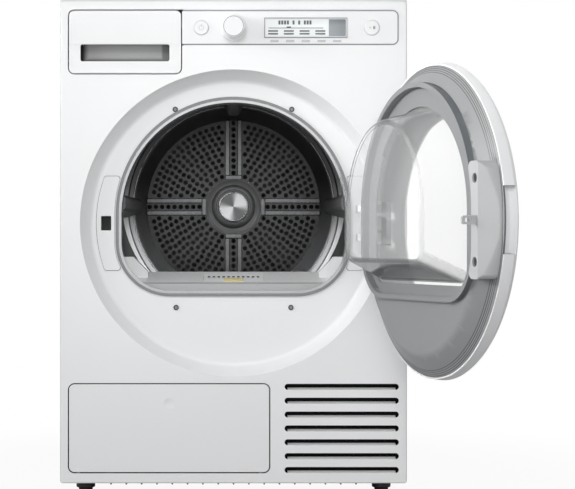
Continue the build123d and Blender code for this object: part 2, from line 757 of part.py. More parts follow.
# Hinge bracket: two cranked arms that carry the barrels of the door's pin
with BuildPart() as hinge_bracket:
    for height in arm_heights:
        with BuildSketch(Plane.XY.offset(height - HINGE_ARM_HEIGHT / 2)) as arm:
            with BuildLine() as arm_path:
                Polyline(
                    (HINGE_X, FRONT_Y - HINGE_PROUD),
                    (ARM_KNEE_X, FRONT_Y - ARM_KNEE_PROUD),
                    (HINGE_ARM_X, FRONT_Y - ARM_ELBOW_PROUD),
                    (HINGE_ARM_X, FRONT_Y + RECESS_DEPTH - HINGE_ARM_THICKNESS),
                )
                offset(amount=HINGE_ARM_THICKNESS / 2, side=Side.BOTH)
            make_face()
            with Locations((HINGE_ARM_X, FRONT_Y + RECESS_DEPTH)):
                Rectangle(HINGE_ARM_THICKNESS, 2 * HINGE_ARM_THICKNESS, align=(Align.CENTER, Align.MAX))
            with Locations((HINGE_X, FRONT_Y - HINGE_PROUD)):
                Circle(HINGE_BARREL_RADIUS)
                Circle(HINGE_PIN_RADIUS + RUNNING_FIT, mode=Mode.SUBTRACT)
        extrude(arm.sketch, amount=HINGE_ARM_HEIGHT)
hinge_bracket.part.label = "hinge_bracket"
export_step(hinge_bracket.part, "parts/hinge_bracket.step")

door_axis = spin_axis(0, DOOR_HEIGHT)


def skin_profile(inset):
    """Return half the section of the door skin's outer line, moved inwards by an inset."""
    shoulder = DOOR_HEIGHT + DOOR_SKIN_RADIUS - inset
    bulge = (DOOR_SKIN_RADIUS - DOOR_DOME_RADIUS) * DOME_ROUNDNESS
    sag = (DOOR_DOME_PROUD - DOOR_SKIN_PROUD) * DOME_ROUNDNESS
    rim = (FRONT_Y, DOOR_HEIGHT + DOOR_RIM_RADIUS - inset)
    side = (FRONT_Y - DOOR_SKIN_PROUD, shoulder)
    knee = (FRONT_Y - DOOR_DOME_PROUD + sag + inset, shoulder - bulge)
    dome = (FRONT_Y - DOOR_DOME_PROUD + inset, DOOR_HEIGHT + DOOR_DOME_RADIUS)
    face = (FRONT_Y - DOOR_FACE_PROUD + inset, DOOR_HEIGHT + WINDOW_RADIUS)
    with BuildSketch(Plane.YZ) as profile:
        with BuildLine():
            Line(rim, side)
            ThreePointArc(side, knee, dome)
            Polyline(dome, face, (face[0], DOOR_HEIGHT), (FRONT_Y, DOOR_HEIGHT), rim)
        make_face()
    return profile.sketch


grip_outline = rounded(
    -DOOR_SKIN_RADIUS - GRIP_HOLLOW, -DOOR_SKIN_RADIUS + 2 * GRIP_HOLLOW,
    DOOR_HEIGHT - GRIP_HEIGHT / 2, DOOR_HEIGHT + GRIP_HEIGHT / 2, GRIP_HOLLOW / 2,
)
GRIP_DEPTH = DOOR_DOME_PROUD - GRIP_HOLLOW

# Door outer ring: a domed shell, open in the middle for the window, with a finger hollow in its rim
with BuildPart() as door_outer_ring:
    revolve(skin_profile(0), axis=door_axis)
    revolve(skin_profile(DOOR_SKIN_WALL), axis=door_axis, mode=Mode.SUBTRACT)
    plate(disc(0, DOOR_HEIGHT, WINDOW_RADIUS), -DOOR_FACE_PROUD, DOOR_FACE_PROUD, Mode.SUBTRACT)
    plate(grip_outline, -GRIP_DEPTH, GRIP_DEPTH, Mode.SUBTRACT)

# Grip insert: fills the cut in the rim with a finger hollow
with BuildPart() as grip_insert:
    plate(grip_outline, -GRIP_DEPTH, GRIP_DEPTH)
    turn(
        [
            (-TRIM_WALL, DOOR_SKIN_RADIUS - 2 * GRIP_HOLLOW),
            (-TRIM_WALL, DOOR_RIM_RADIUS - GRIP_LIP),
            (-GRIP_LEVELS[0], DOOR_RIM_RADIUS - GRIP_FLANK),
            (-GRIP_LEVELS[1], DOOR_RIM_RADIUS - GRIP_HOLLOW),
            (-GRIP_LEVELS[2], DOOR_RIM_RADIUS - GRIP_FLANK),
            (-GRIP_DEPTH, DOOR_RIM_RADIUS - GRIP_LIP),
            (-GRIP_DEPTH, DOOR_SKIN_RADIUS - 2 * GRIP_HOLLOW),
        ],
        0, DOOR_HEIGHT, Mode.INTERSECT,
    )

# Window: a clear disc seated behind the ring's inner edge
with BuildPart() as door_window:
    turn(
        [
            (-DOOR_FACE_PROUD, 0),
            (-DOOR_FACE_PROUD, WINDOW_RADIUS - RUNNING_FIT),
            (-DOOR_FACE_PROUD + DOOR_SKIN_WALL + CLEARANCE, WINDOW_RADIUS - RUNNING_FIT),
            (-DOOR_FACE_PROUD + DOOR_SKIN_WALL + CLEARANCE, WINDOW_RADIUS + 2 * WINDOW_THICKNESS),
            (-DOOR_FACE_PROUD + DOOR_SKIN_WALL + WINDOW_THICKNESS, WINDOW_RADIUS + 2 * WINDOW_THICKNESS),
            (-DOOR_FACE_PROUD + DOOR_SKIN_WALL + WINDOW_THICKNESS, WINDOW_RADIUS - WINDOW_THICKNESS),
            (-DOOR_FACE_PROUD + WINDOW_THICKNESS, WINDOW_RADIUS - 2 * WINDOW_THICKNESS),
            (-DOOR_FACE_PROUD + WINDOW_THICKNESS, 0),
        ],
        0, DOOR_HEIGHT,
    )

# Latch cover outline: between the collar and the rim on the side away from the hinge
with BuildSketch(Plane.XY) as latch_outline:
    with Locations((0, DOOR_HEIGHT)):
        Circle(LATCH_COVER_RADIUS)
    with Locations((-LATCH_COVER_RADIUS, DOOR_HEIGHT)):
        Rectangle(LATCH_COVER_RADIUS, LATCH_COVER_HEIGHT, mode=Mode.INTERSECT)
    add(arch(COLLAR_RADIUS, COLLAR_DROP, COLLAR_CORNER), mode=Mode.SUBTRACT)
    latch_ends = latch_outline.vertices().group_by(Axis.Y)
    fillet(latch_ends[0] + latch_ends[-1], LATCH_COVER_CORNER)

collar_outer = arch(COLLAR_RADIUS, COLLAR_DROP, COLLAR_CORNER)
collar_inner = arch(
    COLLAR_RADIUS - COLLAR_WIDTH, COLLAR_DROP - COLLAR_WIDTH, COLLAR_CORNER - COLLAR_WIDTH
)
bowl_mouth = arch(BOWL_MOUTH_RADIUS, BOWL_MOUTH_DROP, BOWL_CORNER)
bowl_seat = arch(BOWL_MOUTH_RADIUS + TRIM_WALL, BOWL_MOUTH_DROP + TRIM_WALL, BOWL_CORNER + TRIM_WALL)
bowl_flange = arch(
    BOWL_MOUTH_RADIUS + BOWL_FLANGE, BOWL_MOUTH_DROP + BOWL_FLANGE, BOWL_CORNER + BOWL_FLANGE
)
TRIM_EDGE_RADIUS = DOOR_RIM_RADIUS - DOOR_SKIN_WALL
SEAT_DEPTH = TRIM_SHOULDER_DEPTH - 2 * TRIM_WALL

# Door inner trim: ridged cone, flat shoulder, raised collar and the seat of the bowl
with BuildPart() as door_inner_trim:
    ridge_line = []
    for ridge in range(RIDGE_COUNT):
        ridge_line.append((RIDGE_LEAN * ridge, TRIM_EDGE_RADIUS - RIDGE_PITCH * ridge))
        ridge_line.append(
            (RIDGE_LEAN * ridge + RIDGE_HEIGHT, TRIM_EDGE_RADIUS - RIDGE_PITCH * (ridge + 0.5))
        )
    turn(
        [
            *ridge_line,
            (TRIM_SHOULDER_DEPTH, TRIM_SHOULDER_RADIUS),
            (TRIM_SHOULDER_DEPTH, 0),
            (TRIM_SHOULDER_DEPTH - TRIM_WALL, 0),
            (TRIM_SHOULDER_DEPTH - TRIM_WALL, TRIM_SHOULDER_RADIUS - TRIM_WALL / 2),
            (-TRIM_WALL, TRIM_EDGE_RADIUS - 2 * TRIM_WALL),
            (-TRIM_WALL, TRIM_EDGE_RADIUS),
        ],
        0, DOOR_HEIGHT,
    )
    plate(collar_inner, 0, TRIM_SHOULDER_DEPTH, Mode.SUBTRACT)
    plate(collar_outer - collar_inner, SEAT_DEPTH, COLLAR_DEPTH - SEAT_DEPTH)
    plate(collar_inner - bowl_seat, SEAT_DEPTH, TRIM_WALL)
    plate(latch_outline.sketch, -TRIM_WALL, COLLAR_DEPTH + TRIM_WALL, Mode.SUBTRACT)
    for height in arm_heights:
        slot_outline = rounded(
            HINGE_ARM_X - HINGE_ARM_THICKNESS, HINGE_X + HINGE_SLOT_REACH,
            height - HINGE_ARM_HEIGHT / 2 - 2 * CLEARANCE, height + HINGE_ARM_HEIGHT / 2 + 2 * CLEARANCE,
            CLEARANCE,
        )
        plate(slot_outline, -TRIM_WALL, COLLAR_DEPTH, Mode.SUBTRACT)

# Clear bowl: a tapered cup with a flat, higher underside and a flange behind the trim
with BuildPart() as door_bowl:
    with BuildSketch(front(SEAT_DEPTH - BOWL_WALL)):
        add(bowl_mouth)
    with BuildSketch(front(BOWL_END_DEPTH)):
        add(arch(BOWL_END_RADIUS, BOWL_END_DROP, BOWL_CORNER))
    loft()
    fillet(door_bowl.faces().sort_by(Axis.Y)[-1].edges(), BOWL_EDGE)
    plate(bowl_flange, SEAT_DEPTH - BOWL_WALL, BOWL_WALL)
    with BuildSketch(front(SEAT_DEPTH - BOWL_WALL)):
        add(arch(BOWL_MOUTH_RADIUS - BOWL_WALL, BOWL_MOUTH_DROP - BOWL_WALL, BOWL_CORNER - BOWL_WALL))
    with BuildSketch(front(BOWL_END_DEPTH - BOWL_WALL)):
        add(arch(BOWL_END_RADIUS - BOWL_WALL, BOWL_END_DROP - BOWL_WALL, BOWL_CORNER - BOWL_WALL))
    hollow = loft(mode=Mode.PRIVATE)
    add(hollow.fillet(BOWL_EDGE - BOWL_WALL, hollow.faces().sort_by(Axis.Y)[-1].edges()), mode=Mode.SUBTRACT)

# Latch cover with its sloped outer face and screw pockets
LATCH_SCREW_X = LATCH_HOLE_X + LATCH_COVER_CORNER / 2
with BuildPart() as latch_cover:
    plate(latch_outline.sketch, 0, LATCH_COVER_DEPTH)
    with BuildSketch(Plane.XY.offset(DOOR_HEIGHT)):
        with BuildLine():
            Polyline(
                (-LATCH_COVER_RADIUS, FRONT_Y + LATCH_COVER_EDGE),
                (LATCH_SLOPE_X, FRONT_Y + LATCH_COVER_DEPTH),
                (-LATCH_COVER_RADIUS, FRONT_Y + LATCH_COVER_DEPTH),
                close=True,
            )
        make_face()
    extrude(amount=LATCH_COVER_HEIGHT, both=True, mode=Mode.SUBTRACT)
    for side in (-1, 1):
        screw_z = DOOR_HEIGHT + side * LATCH_SCREW_SPREAD / 2
        plate(
            disc(LATCH_SCREW_X, screw_z, LATCH_SCREW_RADIUS), LATCH_COVER_DEPTH - LATCH_SCREW_DEPTH,
            LATCH_SCREW_DEPTH, Mode.SUBTRACT,
        )

with BuildPart() as latch_screws:
    for side in (-1, 1):
        screw_z = DOOR_HEIGHT + side * LATCH_SCREW_SPREAD / 2
        plate(
            disc(LATCH_SCREW_X, screw_z, LATCH_SCREW_RADIUS - CLEARANCE),
            LATCH_COVER_DEPTH - LATCH_SCREW_DEPTH, LATCH_SCREW_DEPTH / 2,
        )

# Latch hook: a blade with a window near its tip
with BuildPart() as latch_hook:
    with BuildSketch(Plane.YZ.offset(LATCH_HOLE_X - HOOK_THICKNESS / 2)):
        with Locations((FRONT_Y + LATCH_COVER_DEPTH, DOOR_HEIGHT)):
            Rectangle(HOOK_REACH, HOOK_HEIGHT, align=(Align.MIN, Align.CENTER))
        with Locations((FRONT_Y + LATCH_COVER_DEPTH + HOOK_WINDOW_OFFSET, DOOR_HEIGHT)):
            Rectangle(HOOK_WINDOW_LENGTH, HOOK_WINDOW_HEIGHT, mode=Mode.SUBTRACT)
    extrude(amount=HOOK_THICKNESS)
    tip_edges = latch_hook.faces().sort_by(Axis.Y)[-1].edges().filter_by(Axis.X)
    fillet(tip_edges, HOOK_TIP)

# Hinge carrier: a plate inside the door whose lugs hold the pin on both sides of each arm
with BuildPart() as hinge_carrier:
    with BuildSketch(Plane.XY.offset(DOOR_HEIGHT)):
        with BuildLine():
            Polyline(
                (HINGE_ARM_X, FRONT_Y - CARRIER_PROUD),
                (HINGE_X - HINGE_BARREL_RADIUS, FRONT_Y - CARRIER_PROUD),
                (HINGE_X - HINGE_BARREL_RADIUS, FRONT_Y - DOOR_FACE_PROUD),
                (HINGE_ARM_X, FRONT_Y - DOOR_FACE_PROUD),
                close=True,
            )
        make_face()
    extrude(amount=CARRIER_HALF_HEIGHT, both=True)
    for height in arm_heights:
        for side in (-1, 1):
            lug_z = height + side * (HINGE_ARM_HEIGHT / 2 + 2 * CLEARANCE + LUG_THICKNESS / 2)
            with BuildSketch(Plane.XY.offset(lug_z - LUG_THICKNESS / 2)) as lug:
                with Locations((HINGE_X, FRONT_Y - HINGE_PROUD)):
                    Circle(HINGE_BARREL_RADIUS)
                with Locations((HINGE_X, FRONT_Y - HINGE_PROUD)):
                    Rectangle(
                        2 * HINGE_BARREL_RADIUS, CARRIER_PROUD, align=(Align.CENTER, Align.MAX)
                    )
            extrude(lug.sketch, amount=LUG_THICKNESS)
    with Locations((HINGE_X, FRONT_Y - HINGE_PROUD, DOOR_HEIGHT)):
        Cylinder(HINGE_PIN_RADIUS, 2 * CARRIER_HALF_HEIGHT, mode=Mode.SUBTRACT)
    revolve(skin_profile(DOOR_SKIN_WALL), axis=door_axis, mode=Mode.INTERSECT)

with BuildPart() as hinge_pin:
    with Locations((HINGE_X, FRONT_Y - HINGE_PROUD, DOOR_HEIGHT)):
        Cylinder(HINGE_PIN_RADIUS, 2 * CARRIER_HALF_HEIGHT)

# The door is modelled shut and swung open to the way it stands
door_pieces = {
    "door_outer_ring": door_outer_ring,
    "grip_insert": grip_insert,
    "door_window": door_window,
    "door_inner_trim": door_inner_trim,
    "door_bowl": door_bowl,
    "latch_cover": latch_cover,
    "latch_screws": latch_screws,
    "latch_hook": latch_hook,
    "hinge_carrier": hinge_carrier,
    "hinge_pin": hinge_pin,
}
for name, piece in door_pieces.items():
    opened = piece.part.rotate(HINGE_AXIS, DOOR_OPEN_ANGLE)
    opened.label = name
    export_step(opened, f"parts/{name}.step")

# Control fascia: creased face with a rim, a flange behind the front sheet and holes for the controls
fascia_outline = rounded(FASCIA_LEFT, CONSOLE_RIGHT, FASCIA_BOTTOM, CONSOLE_TOP, CONSOLE_CORNER)
fascia_outline += rounded(
    FASCIA_LEFT, FASCIA_LEFT + 3 * CONSOLE_CORNER, FASCIA_BOTTOM, CONSOLE_TOP, HANDLE_WALL
)
display_outline = rounded(
    DISPLAY_X - DISPLAY_WIDTH / 2, DISPLAY_X + DISPLAY_WIDTH / 2,
    CONTROL_Z - DISPLAY_HEIGHT / 2, CONTROL_Z + DISPLAY_HEIGHT / 2, DISPLAY_CORNER,
)
with BuildSketch(Plane.XY) as key_outline:
    with Locations((DISPLAY_X, CONSOLE_TOP - KEY_DROP)):
        with GridLocations(KEY_PITCH, 0, KEY_COUNT, 1):
            RectangleRounded(KEY_WIDTH, KEY_HEIGHT, KEY_CORNER)

with BuildPart() as control_fascia:
    plate(fascia_outline, -2 * CROWN, FASCIA_RIM + 2 * CROWN)
    crowned(FASCIA_LEFT, CONSOLE_RIGHT)
    plate(grown(fascia_outline, -FASCIA_WALL), FASCIA_WALL, FASCIA_RIM, Mode.SUBTRACT)
    plate(
        rounded(
            FASCIA_LEFT, CONSOLE_RIGHT + FASCIA_FLANGE, FASCIA_BOTTOM - FASCIA_FLANGE,
            CONSOLE_TOP + FASCIA_FLANGE, CONSOLE_CORNER,
        ) - fascia_outline,
        SHEET, SHEET,
    )
    plate(display_outline, -2 * CROWN, FASCIA_RIM, Mode.SUBTRACT)
    plate(key_outline.sketch, -2 * CROWN, FASCIA_RIM, Mode.SUBTRACT)
    for control_x, hole_radius in (
        (KNOB_X, KNOB_SHAFT_RADIUS + RUNNING_FIT),
        (POWER_X, POWER_RADIUS + CLEARANCE),
        (START_X, START_RADIUS + CLEARANCE),
    ):
        plate(disc(control_x, CONTROL_Z, hole_radius), -2 * CROWN, FASCIA_RIM, Mode.SUBTRACT)
control_fascia.part.label = "control_fascia"
export_step(control_fascia.part, "parts/control_fascia.step")

with BuildPart() as display_window:
    plate(display_outline, -2 * CROWN, FASCIA_WALL + 2 * CROWN)
    crowned(FASCIA_LEFT, CONSOLE_RIGHT)
    plate(grown(display_outline, FASCIA_WALL), FASCIA_WALL, DISPLAY_THICKNESS)
display_window.part.label = "display_window"
export_step(display_window.part, "parts/display_window.step")

with BuildPart() as soft_keys:
    plate(key_outline.sketch, -KEY_PROUD, FASCIA_WALL + KEY_PROUD)
    plate(grown(key_outline.sketch, KEY_PROUD), FASCIA_WALL, DISPLAY_THICKNESS)
soft_keys.part.label = "soft_keys"
export_step(soft_keys.part, "parts/soft_keys.step")

# Programme knob: stepped skirt, slightly tapered grip, pointer groove and shaft
KNOB_BACK = -CROWN - CLEARANCE
KNOB_FRONT = KNOB_BACK - KNOB_HEIGHT
with BuildPart() as knob:
    turn(
        [
            (FASCIA_RIM, 0),
            (FASCIA_RIM, KNOB_SHAFT_RADIUS),
            (KNOB_BACK, KNOB_SHAFT_RADIUS),
            (KNOB_BACK, KNOB_RADIUS),
            (KNOB_BACK - KNOB_SKIRT, KNOB_RADIUS),
            (KNOB_BACK - KNOB_SKIRT - KNOB_EDGE, KNOB_FACE_RADIUS + KNOB_TAPER),
            (KNOB_FRONT + KNOB_EDGE, KNOB_FACE_RADIUS),
            (KNOB_FRONT, KNOB_FACE_RADIUS - KNOB_EDGE),
            (KNOB_FRONT, 0),
        ],
        KNOB_X, CONTROL_Z,
    )
    pointer = rounded(
        KNOB_X - POINTER_WIDTH / 2, KNOB_X + POINTER_WIDTH / 2,
        CONTROL_Z + POINTER_START, CONTROL_Z + POINTER_END, POINTER_CORNER,
    )
    plate(pointer, KNOB_FRONT, KNOB_EDGE, Mode.SUBTRACT)
knob.part.label = "knob"
export_step(knob.part, "parts/knob.step")


def button(x, radius):
    """Add a push button with a rounded front edge and a catch behind the fascia."""
    face_depth = -CROWN - BUTTON_PROUD
    turn(
        [
            (face_depth, 0),
            (face_depth, radius - BUTTON_PROUD),
            (face_depth + BUTTON_PROUD, radius),
            (FASCIA_WALL + CLEARANCE, radius),
            (FASCIA_WALL + CLEARANCE, radius + 3 * CLEARANCE),
            (FASCIA_WALL + CLEARANCE + BUTTON_CATCH, radius + 3 * CLEARANCE),
            (FASCIA_WALL + CLEARANCE + BUTTON_CATCH, 0),
        ],
        x, CONTROL_Z,
    )


with BuildPart() as power_button:
    button(POWER_X, POWER_RADIUS)
power_button.part.label = "power_button"
export_step(power_button.part, "parts/power_button.step")

with BuildPart() as start_button:
    button(START_X, START_RADIUS)
start_button.part.label = "start_button"
export_step(start_button.part, "parts/start_button.step")

# Drawer front: creased upper half, flat lower half and a handle pocket under the crease
DRAWER_RIM = HANDLE_DEPTH + HANDLE_WALL
HANDLE_X = (CONSOLE_LEFT + DRAWER_EDGE) / 2
drawer_outline = rounded(CONSOLE_LEFT, DRAWER_EDGE, DRAWER_BOTTOM, CONSOLE_TOP, CONSOLE_CORNER)
with BuildPart() as drawer_front:
    plate(drawer_outline, -2 * CROWN, DRAWER_RIM + 2 * CROWN)
    crowned(CONSOLE_LEFT, DRAWER_EDGE)
    bar(
        [(-2 * CROWN, 0), (0, 0), (0, FASCIA_BOTTOM), (-2 * CROWN, FASCIA_BOTTOM)],
        CONSOLE_LEFT, DRAWER_EDGE - CONSOLE_LEFT, Mode.SUBTRACT,
    )
    bar(
        [
            (-2 * CROWN, FASCIA_BOTTOM - SEAM_WIDTH / 2),
            (SEAM_DEPTH, FASCIA_BOTTOM - SEAM_WIDTH / 2),
            (SEAM_DEPTH, FASCIA_BOTTOM + SEAM_WIDTH / 2),
            (-2 * CROWN, FASCIA_BOTTOM + SEAM_WIDTH / 2),
        ],
        CONSOLE_LEFT, DRAWER_EDGE - CONSOLE_LEFT, Mode.SUBTRACT,
    )
    plate(grown(drawer_outline, -FASCIA_WALL), FASCIA_WALL, DRAWER_RIM, Mode.SUBTRACT)
    handle_box = (
        HANDLE_X - HANDLE_WIDTH / 2, HANDLE_X + HANDLE_WIDTH / 2,
        FASCIA_BOTTOM - HANDLE_HEIGHT, FASCIA_BOTTOM, HANDLE_CORNER,
    )
    pocket_outline = rounded(*handle_box)
    plate(grown(pocket_outline, HANDLE_WALL), FASCIA_WALL, DRAWER_RIM - FASCIA_WALL)
    plate(pocket_outline, 0, HANDLE_DEPTH, Mode.SUBTRACT)
    bar(
        [
            (FASCIA_WALL, FASCIA_BOTTOM - HANDLE_CORNER),
            (HANDLE_DEPTH, FASCIA_BOTTOM - HANDLE_CORNER),
            (HANDLE_DEPTH, FASCIA_BOTTOM + FINGER_RISE),
            (2 * FASCIA_WALL, FASCIA_BOTTOM + FINGER_RISE),
        ],
        HANDLE_X - HANDLE_WIDTH / 2 + HANDLE_CORNER, HANDLE_WIDTH - 2 * HANDLE_CORNER, Mode.SUBTRACT,
    )
    bar(
        [
            (2 * FASCIA_WALL, FASCIA_BOTTOM + FINGER_RISE),
            (DRAWER_RIM, FASCIA_BOTTOM + FINGER_RISE),
            (DRAWER_RIM, FASCIA_BOTTOM + FINGER_RISE + HANDLE_WALL),
            (FASCIA_WALL, FASCIA_BOTTOM + FINGER_RISE + HANDLE_WALL),
        ],
        HANDLE_X - HANDLE_WIDTH / 2, HANDLE_WIDTH,
    )
    bar(
        [
            (HANDLE_DEPTH, FASCIA_BOTTOM),
            (DRAWER_RIM, FASCIA_BOTTOM),
            (DRAWER_RIM, FASCIA_BOTTOM + FINGER_RISE),
            (HANDLE_DEPTH, FASCIA_BOTTOM + FINGER_RISE),
        ],
        HANDLE_X - HANDLE_WIDTH / 2, HANDLE_WIDTH,
    )
drawer_front.part.label = "drawer_front"
export_step(drawer_front.part, "parts/drawer_front.step")


def tank_outline(grow):
    """Return the water tank's section, hollowed underneath to pass over the drum."""
    with BuildSketch(Plane.XY) as outline:
        with Locations(((CONSOLE_LEFT + DRAWER_EDGE) / 2, (TANK_FLOOR + TANK_TOP) / 2)):
            Rectangle(
                DRAWER_EDGE - CONSOLE_LEFT - 2 * TANK_MARGIN + 2 * grow, TANK_TOP - TANK_FLOOR + 2 * grow
            )
        with Locations((0, DRUM_AXIS_HEIGHT)):
            Circle(TANK_ARC_RADIUS - grow, mode=Mode.SUBTRACT)
    return outline.sketch


TANK_FRONT = DRAWER_RIM
TANK_BACK = TANK_FRONT + TANK_LENGTH
with BuildPart() as water_tank:
    plate(tank_outline(0), TANK_FRONT, TANK_LENGTH)
    plate(tank_outline(-TANK_WALL), TANK_FRONT + TANK_WALL, TANK_LENGTH - 2 * TANK_WALL, Mode.SUBTRACT)
    with BuildSketch(Plane.XY.offset(TANK_TOP)):
        with Locations((HANDLE_X, FRONT_Y + TANK_BACK - 3 * FILLER_RADIUS)):
            Circle(FILLER_RADIUS)
    extrude(amount=-TANK_WALL, mode=Mode.SUBTRACT)
water_tank.part.label = "water_tank"
export_step(water_tank.part, "parts/water_tank.step")

# Drawer housing: a trough under the tank with a back wall, tied to the side panel
HOUSING_LENGTH = TANK_BACK + 4 * TANK_WALL - HOUSING_FRONT
with BuildPart() as drawer_housing:
    plate(
        tank_outline(HOUSING_GAP + HOUSING_WALL) - tank_outline(HOUSING_GAP), HOUSING_FRONT, HOUSING_LENGTH
    )
    plate(
        tank_outline(HOUSING_GAP + HOUSING_WALL), HOUSING_FRONT + HOUSING_LENGTH - HOUSING_WALL, HOUSING_WALL
    )
    bar(
        [
            (0, TANK_TOP - HOUSING_LIP),
            (TANK_BACK, TANK_TOP - HOUSING_LIP),
            (TANK_BACK, CABINET_HEIGHT),
            (0, CABINET_HEIGHT),
        ],
        -HALF_WIDTH, CABINET_WIDTH, Mode.SUBTRACT,
    )
    housing_left = CONSOLE_LEFT + TANK_MARGIN - HOUSING_GAP - HOUSING_WALL
    for tie_depth in (HOUSING_FRONT + HOUSING_TIE_INSET, HOUSING_FRONT + HOUSING_LENGTH - HOUSING_TIE_INSET):
        bar(
            [
                (tie_depth, TANK_FLOOR + HOUSING_LIP),
                (tie_depth + 2 * HOUSING_LIP, TANK_FLOOR + HOUSING_LIP),
                (tie_depth + 2 * HOUSING_LIP, TANK_FLOOR + 3 * HOUSING_LIP),
                (tie_depth, TANK_FLOOR + 3 * HOUSING_LIP),
            ],
            -INNER_HALF, housing_left + INNER_HALF,
        )
drawer_housing.part.label = "drawer_housing"
export_step(drawer_housing.part, "parts/drawer_housing.step")

# Maintenance flap: lipped plate with a push mark, on two gooseneck arms that swing on pins below its edge
FLAP_AXIS_Z = FLAP_BOTTOM - FLAP_HINGE_DROP
PIN_OVERHANG = SHADOW_GAP + SLEEVE_WALL
PIN_LENGTH = PIN_OVERHANG + FLAP_ARM_INSET
ARM_FRONT = FLAP_HINGE_DEPTH + FLAP_ARM_REACH
ARM_BACK = ARM_FRONT + FLAP_ARM_THICKNESS
ARM_TOP = FLAP_AXIS_Z + FLAP_ARM_RISE
flap_outline = rounded(FLAP_LEFT, FLAP_RIGHT, FLAP_BOTTOM, FLAP_TOP, FLAP_CORNER)
with BuildPart() as flap:
    plate(flap_outline, 0, FLAP_LIP)
    fillet(flap.faces().sort_by(Axis.Y)[0].edges(), FLAP_EDGE)
    plate(grown(flap_outline, -FLAP_STEP), FLAP_LIP, FLAP_RIM - FLAP_LIP)
    plate(
        grown(flap_outline, -FLAP_STEP - FLAP_WALL), FLAP_WALL + PUSH_MARK_DEPTH, FLAP_RIM, Mode.SUBTRACT
    )
    with Locations((PUSH_MARK_X, FRONT_Y + PUSH_MARK_DEPTH - PUSH_MARK_SPHERE, PUSH_MARK_Z)):
        Sphere(PUSH_MARK_SPHERE, mode=Mode.SUBTRACT)
    for arm_x, pin_x in (
        (FLAP_LEFT + FLAP_ARM_INSET, FLAP_LEFT - PIN_OVERHANG),
        (FLAP_RIGHT - FLAP_ARM_INSET - FLAP_ARM_WIDTH, FLAP_RIGHT - FLAP_ARM_INSET),
    ):
        bar(
            [
                (FLAP_HINGE_DEPTH, FLAP_AXIS_Z - FLAP_ARM_THICKNESS / 2),
                (ARM_BACK, FLAP_AXIS_Z - FLAP_ARM_THICKNESS / 2),
                (ARM_BACK, ARM_TOP),
                (FLAP_WALL, ARM_TOP),
                (FLAP_WALL, ARM_TOP - FLAP_ARM_WIDTH),
                (ARM_FRONT, ARM_TOP - FLAP_ARM_WIDTH),
                (ARM_FRONT, FLAP_AXIS_Z + FLAP_ARM_THICKNESS / 2),
                (FLAP_HINGE_DEPTH, FLAP_AXIS_Z + FLAP_ARM_THICKNESS / 2),
            ],
            arm_x, FLAP_ARM_WIDTH,
        )
        with BuildSketch(Plane.YZ.offset(arm_x)) as eye_section:
            with Locations((FRONT_Y + FLAP_HINGE_DEPTH, FLAP_AXIS_Z)):
                Circle(FLAP_PIN_RADIUS)
        extrude(eye_section.sketch, amount=FLAP_ARM_WIDTH)
        with BuildSketch(Plane.YZ.offset(pin_x)) as pin_section:
            with Locations((FRONT_Y + FLAP_HINGE_DEPTH, FLAP_AXIS_Z)):
                Circle(FLAP_PIN_RADIUS)
        extrude(pin_section.sketch, amount=PIN_LENGTH)
flap.part.label = "flap"
export_step(flap.part, "parts/flap.step")

# Flap frame: a sleeve behind the front sheet with a trough for the flap's pins, closed by the coil cover
sleeve_outline = rounded(
    FLAP_LEFT - SHADOW_GAP, FLAP_RIGHT + SHADOW_GAP, FLAP_BOTTOM - SLEEVE_DROP, FLAP_TOP + SHADOW_GAP,
    FLAP_CORNER,
)
trough_outline = rounded(
    FLAP_LEFT - SHADOW_GAP, FLAP_RIGHT + SHADOW_GAP, FLAP_AXIS_Z - TROUGH_DROP, FLAP_Z, FLAP_CORNER
)
LEVER_PLACES = (FLAP_LEFT + LEVER_INSET, FLAP_RIGHT - LEVER_INSET)
with BuildPart() as flap_frame:
    plate(grown(sleeve_outline, SLEEVE_WALL), SHEET, SLEEVE_DEPTH + COVER_THICKNESS)
    plate(grown(trough_outline, SLEEVE_WALL), SHEET, TROUGH_DEPTH + SLEEVE_WALL)
    plate(sleeve_outline, SHEET, SLEEVE_DEPTH, Mode.SUBTRACT)
    plate(trough_outline, SHEET, TROUGH_DEPTH, Mode.SUBTRACT)
    with BuildSketch(Plane.YZ.offset(-HALF_WIDTH)) as pin_bore:
        with Locations((FRONT_Y + FLAP_HINGE_DEPTH, FLAP_AXIS_Z)):
            Circle(FLAP_PIN_RADIUS + RUNNING_FIT)
    extrude(pin_bore.sketch, amount=CABINET_WIDTH, mode=Mode.SUBTRACT)
    for lever_x in LEVER_PLACES:
        plate(
            disc(lever_x, FLAP_Z, LEVER_SHAFT_RADIUS + RUNNING_FIT), SLEEVE_DEPTH, 2 * COVER_THICKNESS,
            Mode.SUBTRACT,
        )
flap_frame.part.label = "flap_frame"
export_step(flap_frame.part, "parts/flap_frame.step")


def lever(x):
    """Add a cover lever: a rounded handle on a short shaft."""
    lever_back = SHEET + SLEEVE_DEPTH - CLEARANCE
    handle = rounded(
        x - LEVER_WIDTH / 2, x + LEVER_WIDTH / 2, FLAP_Z - LEVER_LENGTH / 2, FLAP_Z + LEVER_LENGTH / 2,
        LEVER_CORNER,
    )
    plate(handle, lever_back - LEVER_THICKNESS, LEVER_THICKNESS)
    plate(disc(x, FLAP_Z, LEVER_SHAFT_RADIUS), lever_back, CLEARANCE + COVER_THICKNESS)


with BuildPart() as left_lever:
    lever(LEVER_PLACES[0])
left_lever.part.label = "left_lever"
export_step(left_lever.part, "parts/left_lever.step")

with BuildPart() as right_lever:
    lever(LEVER_PLACES[1])
right_lever.part.label = "right_lever"
export_step(right_lever.part, "parts/right_lever.step")

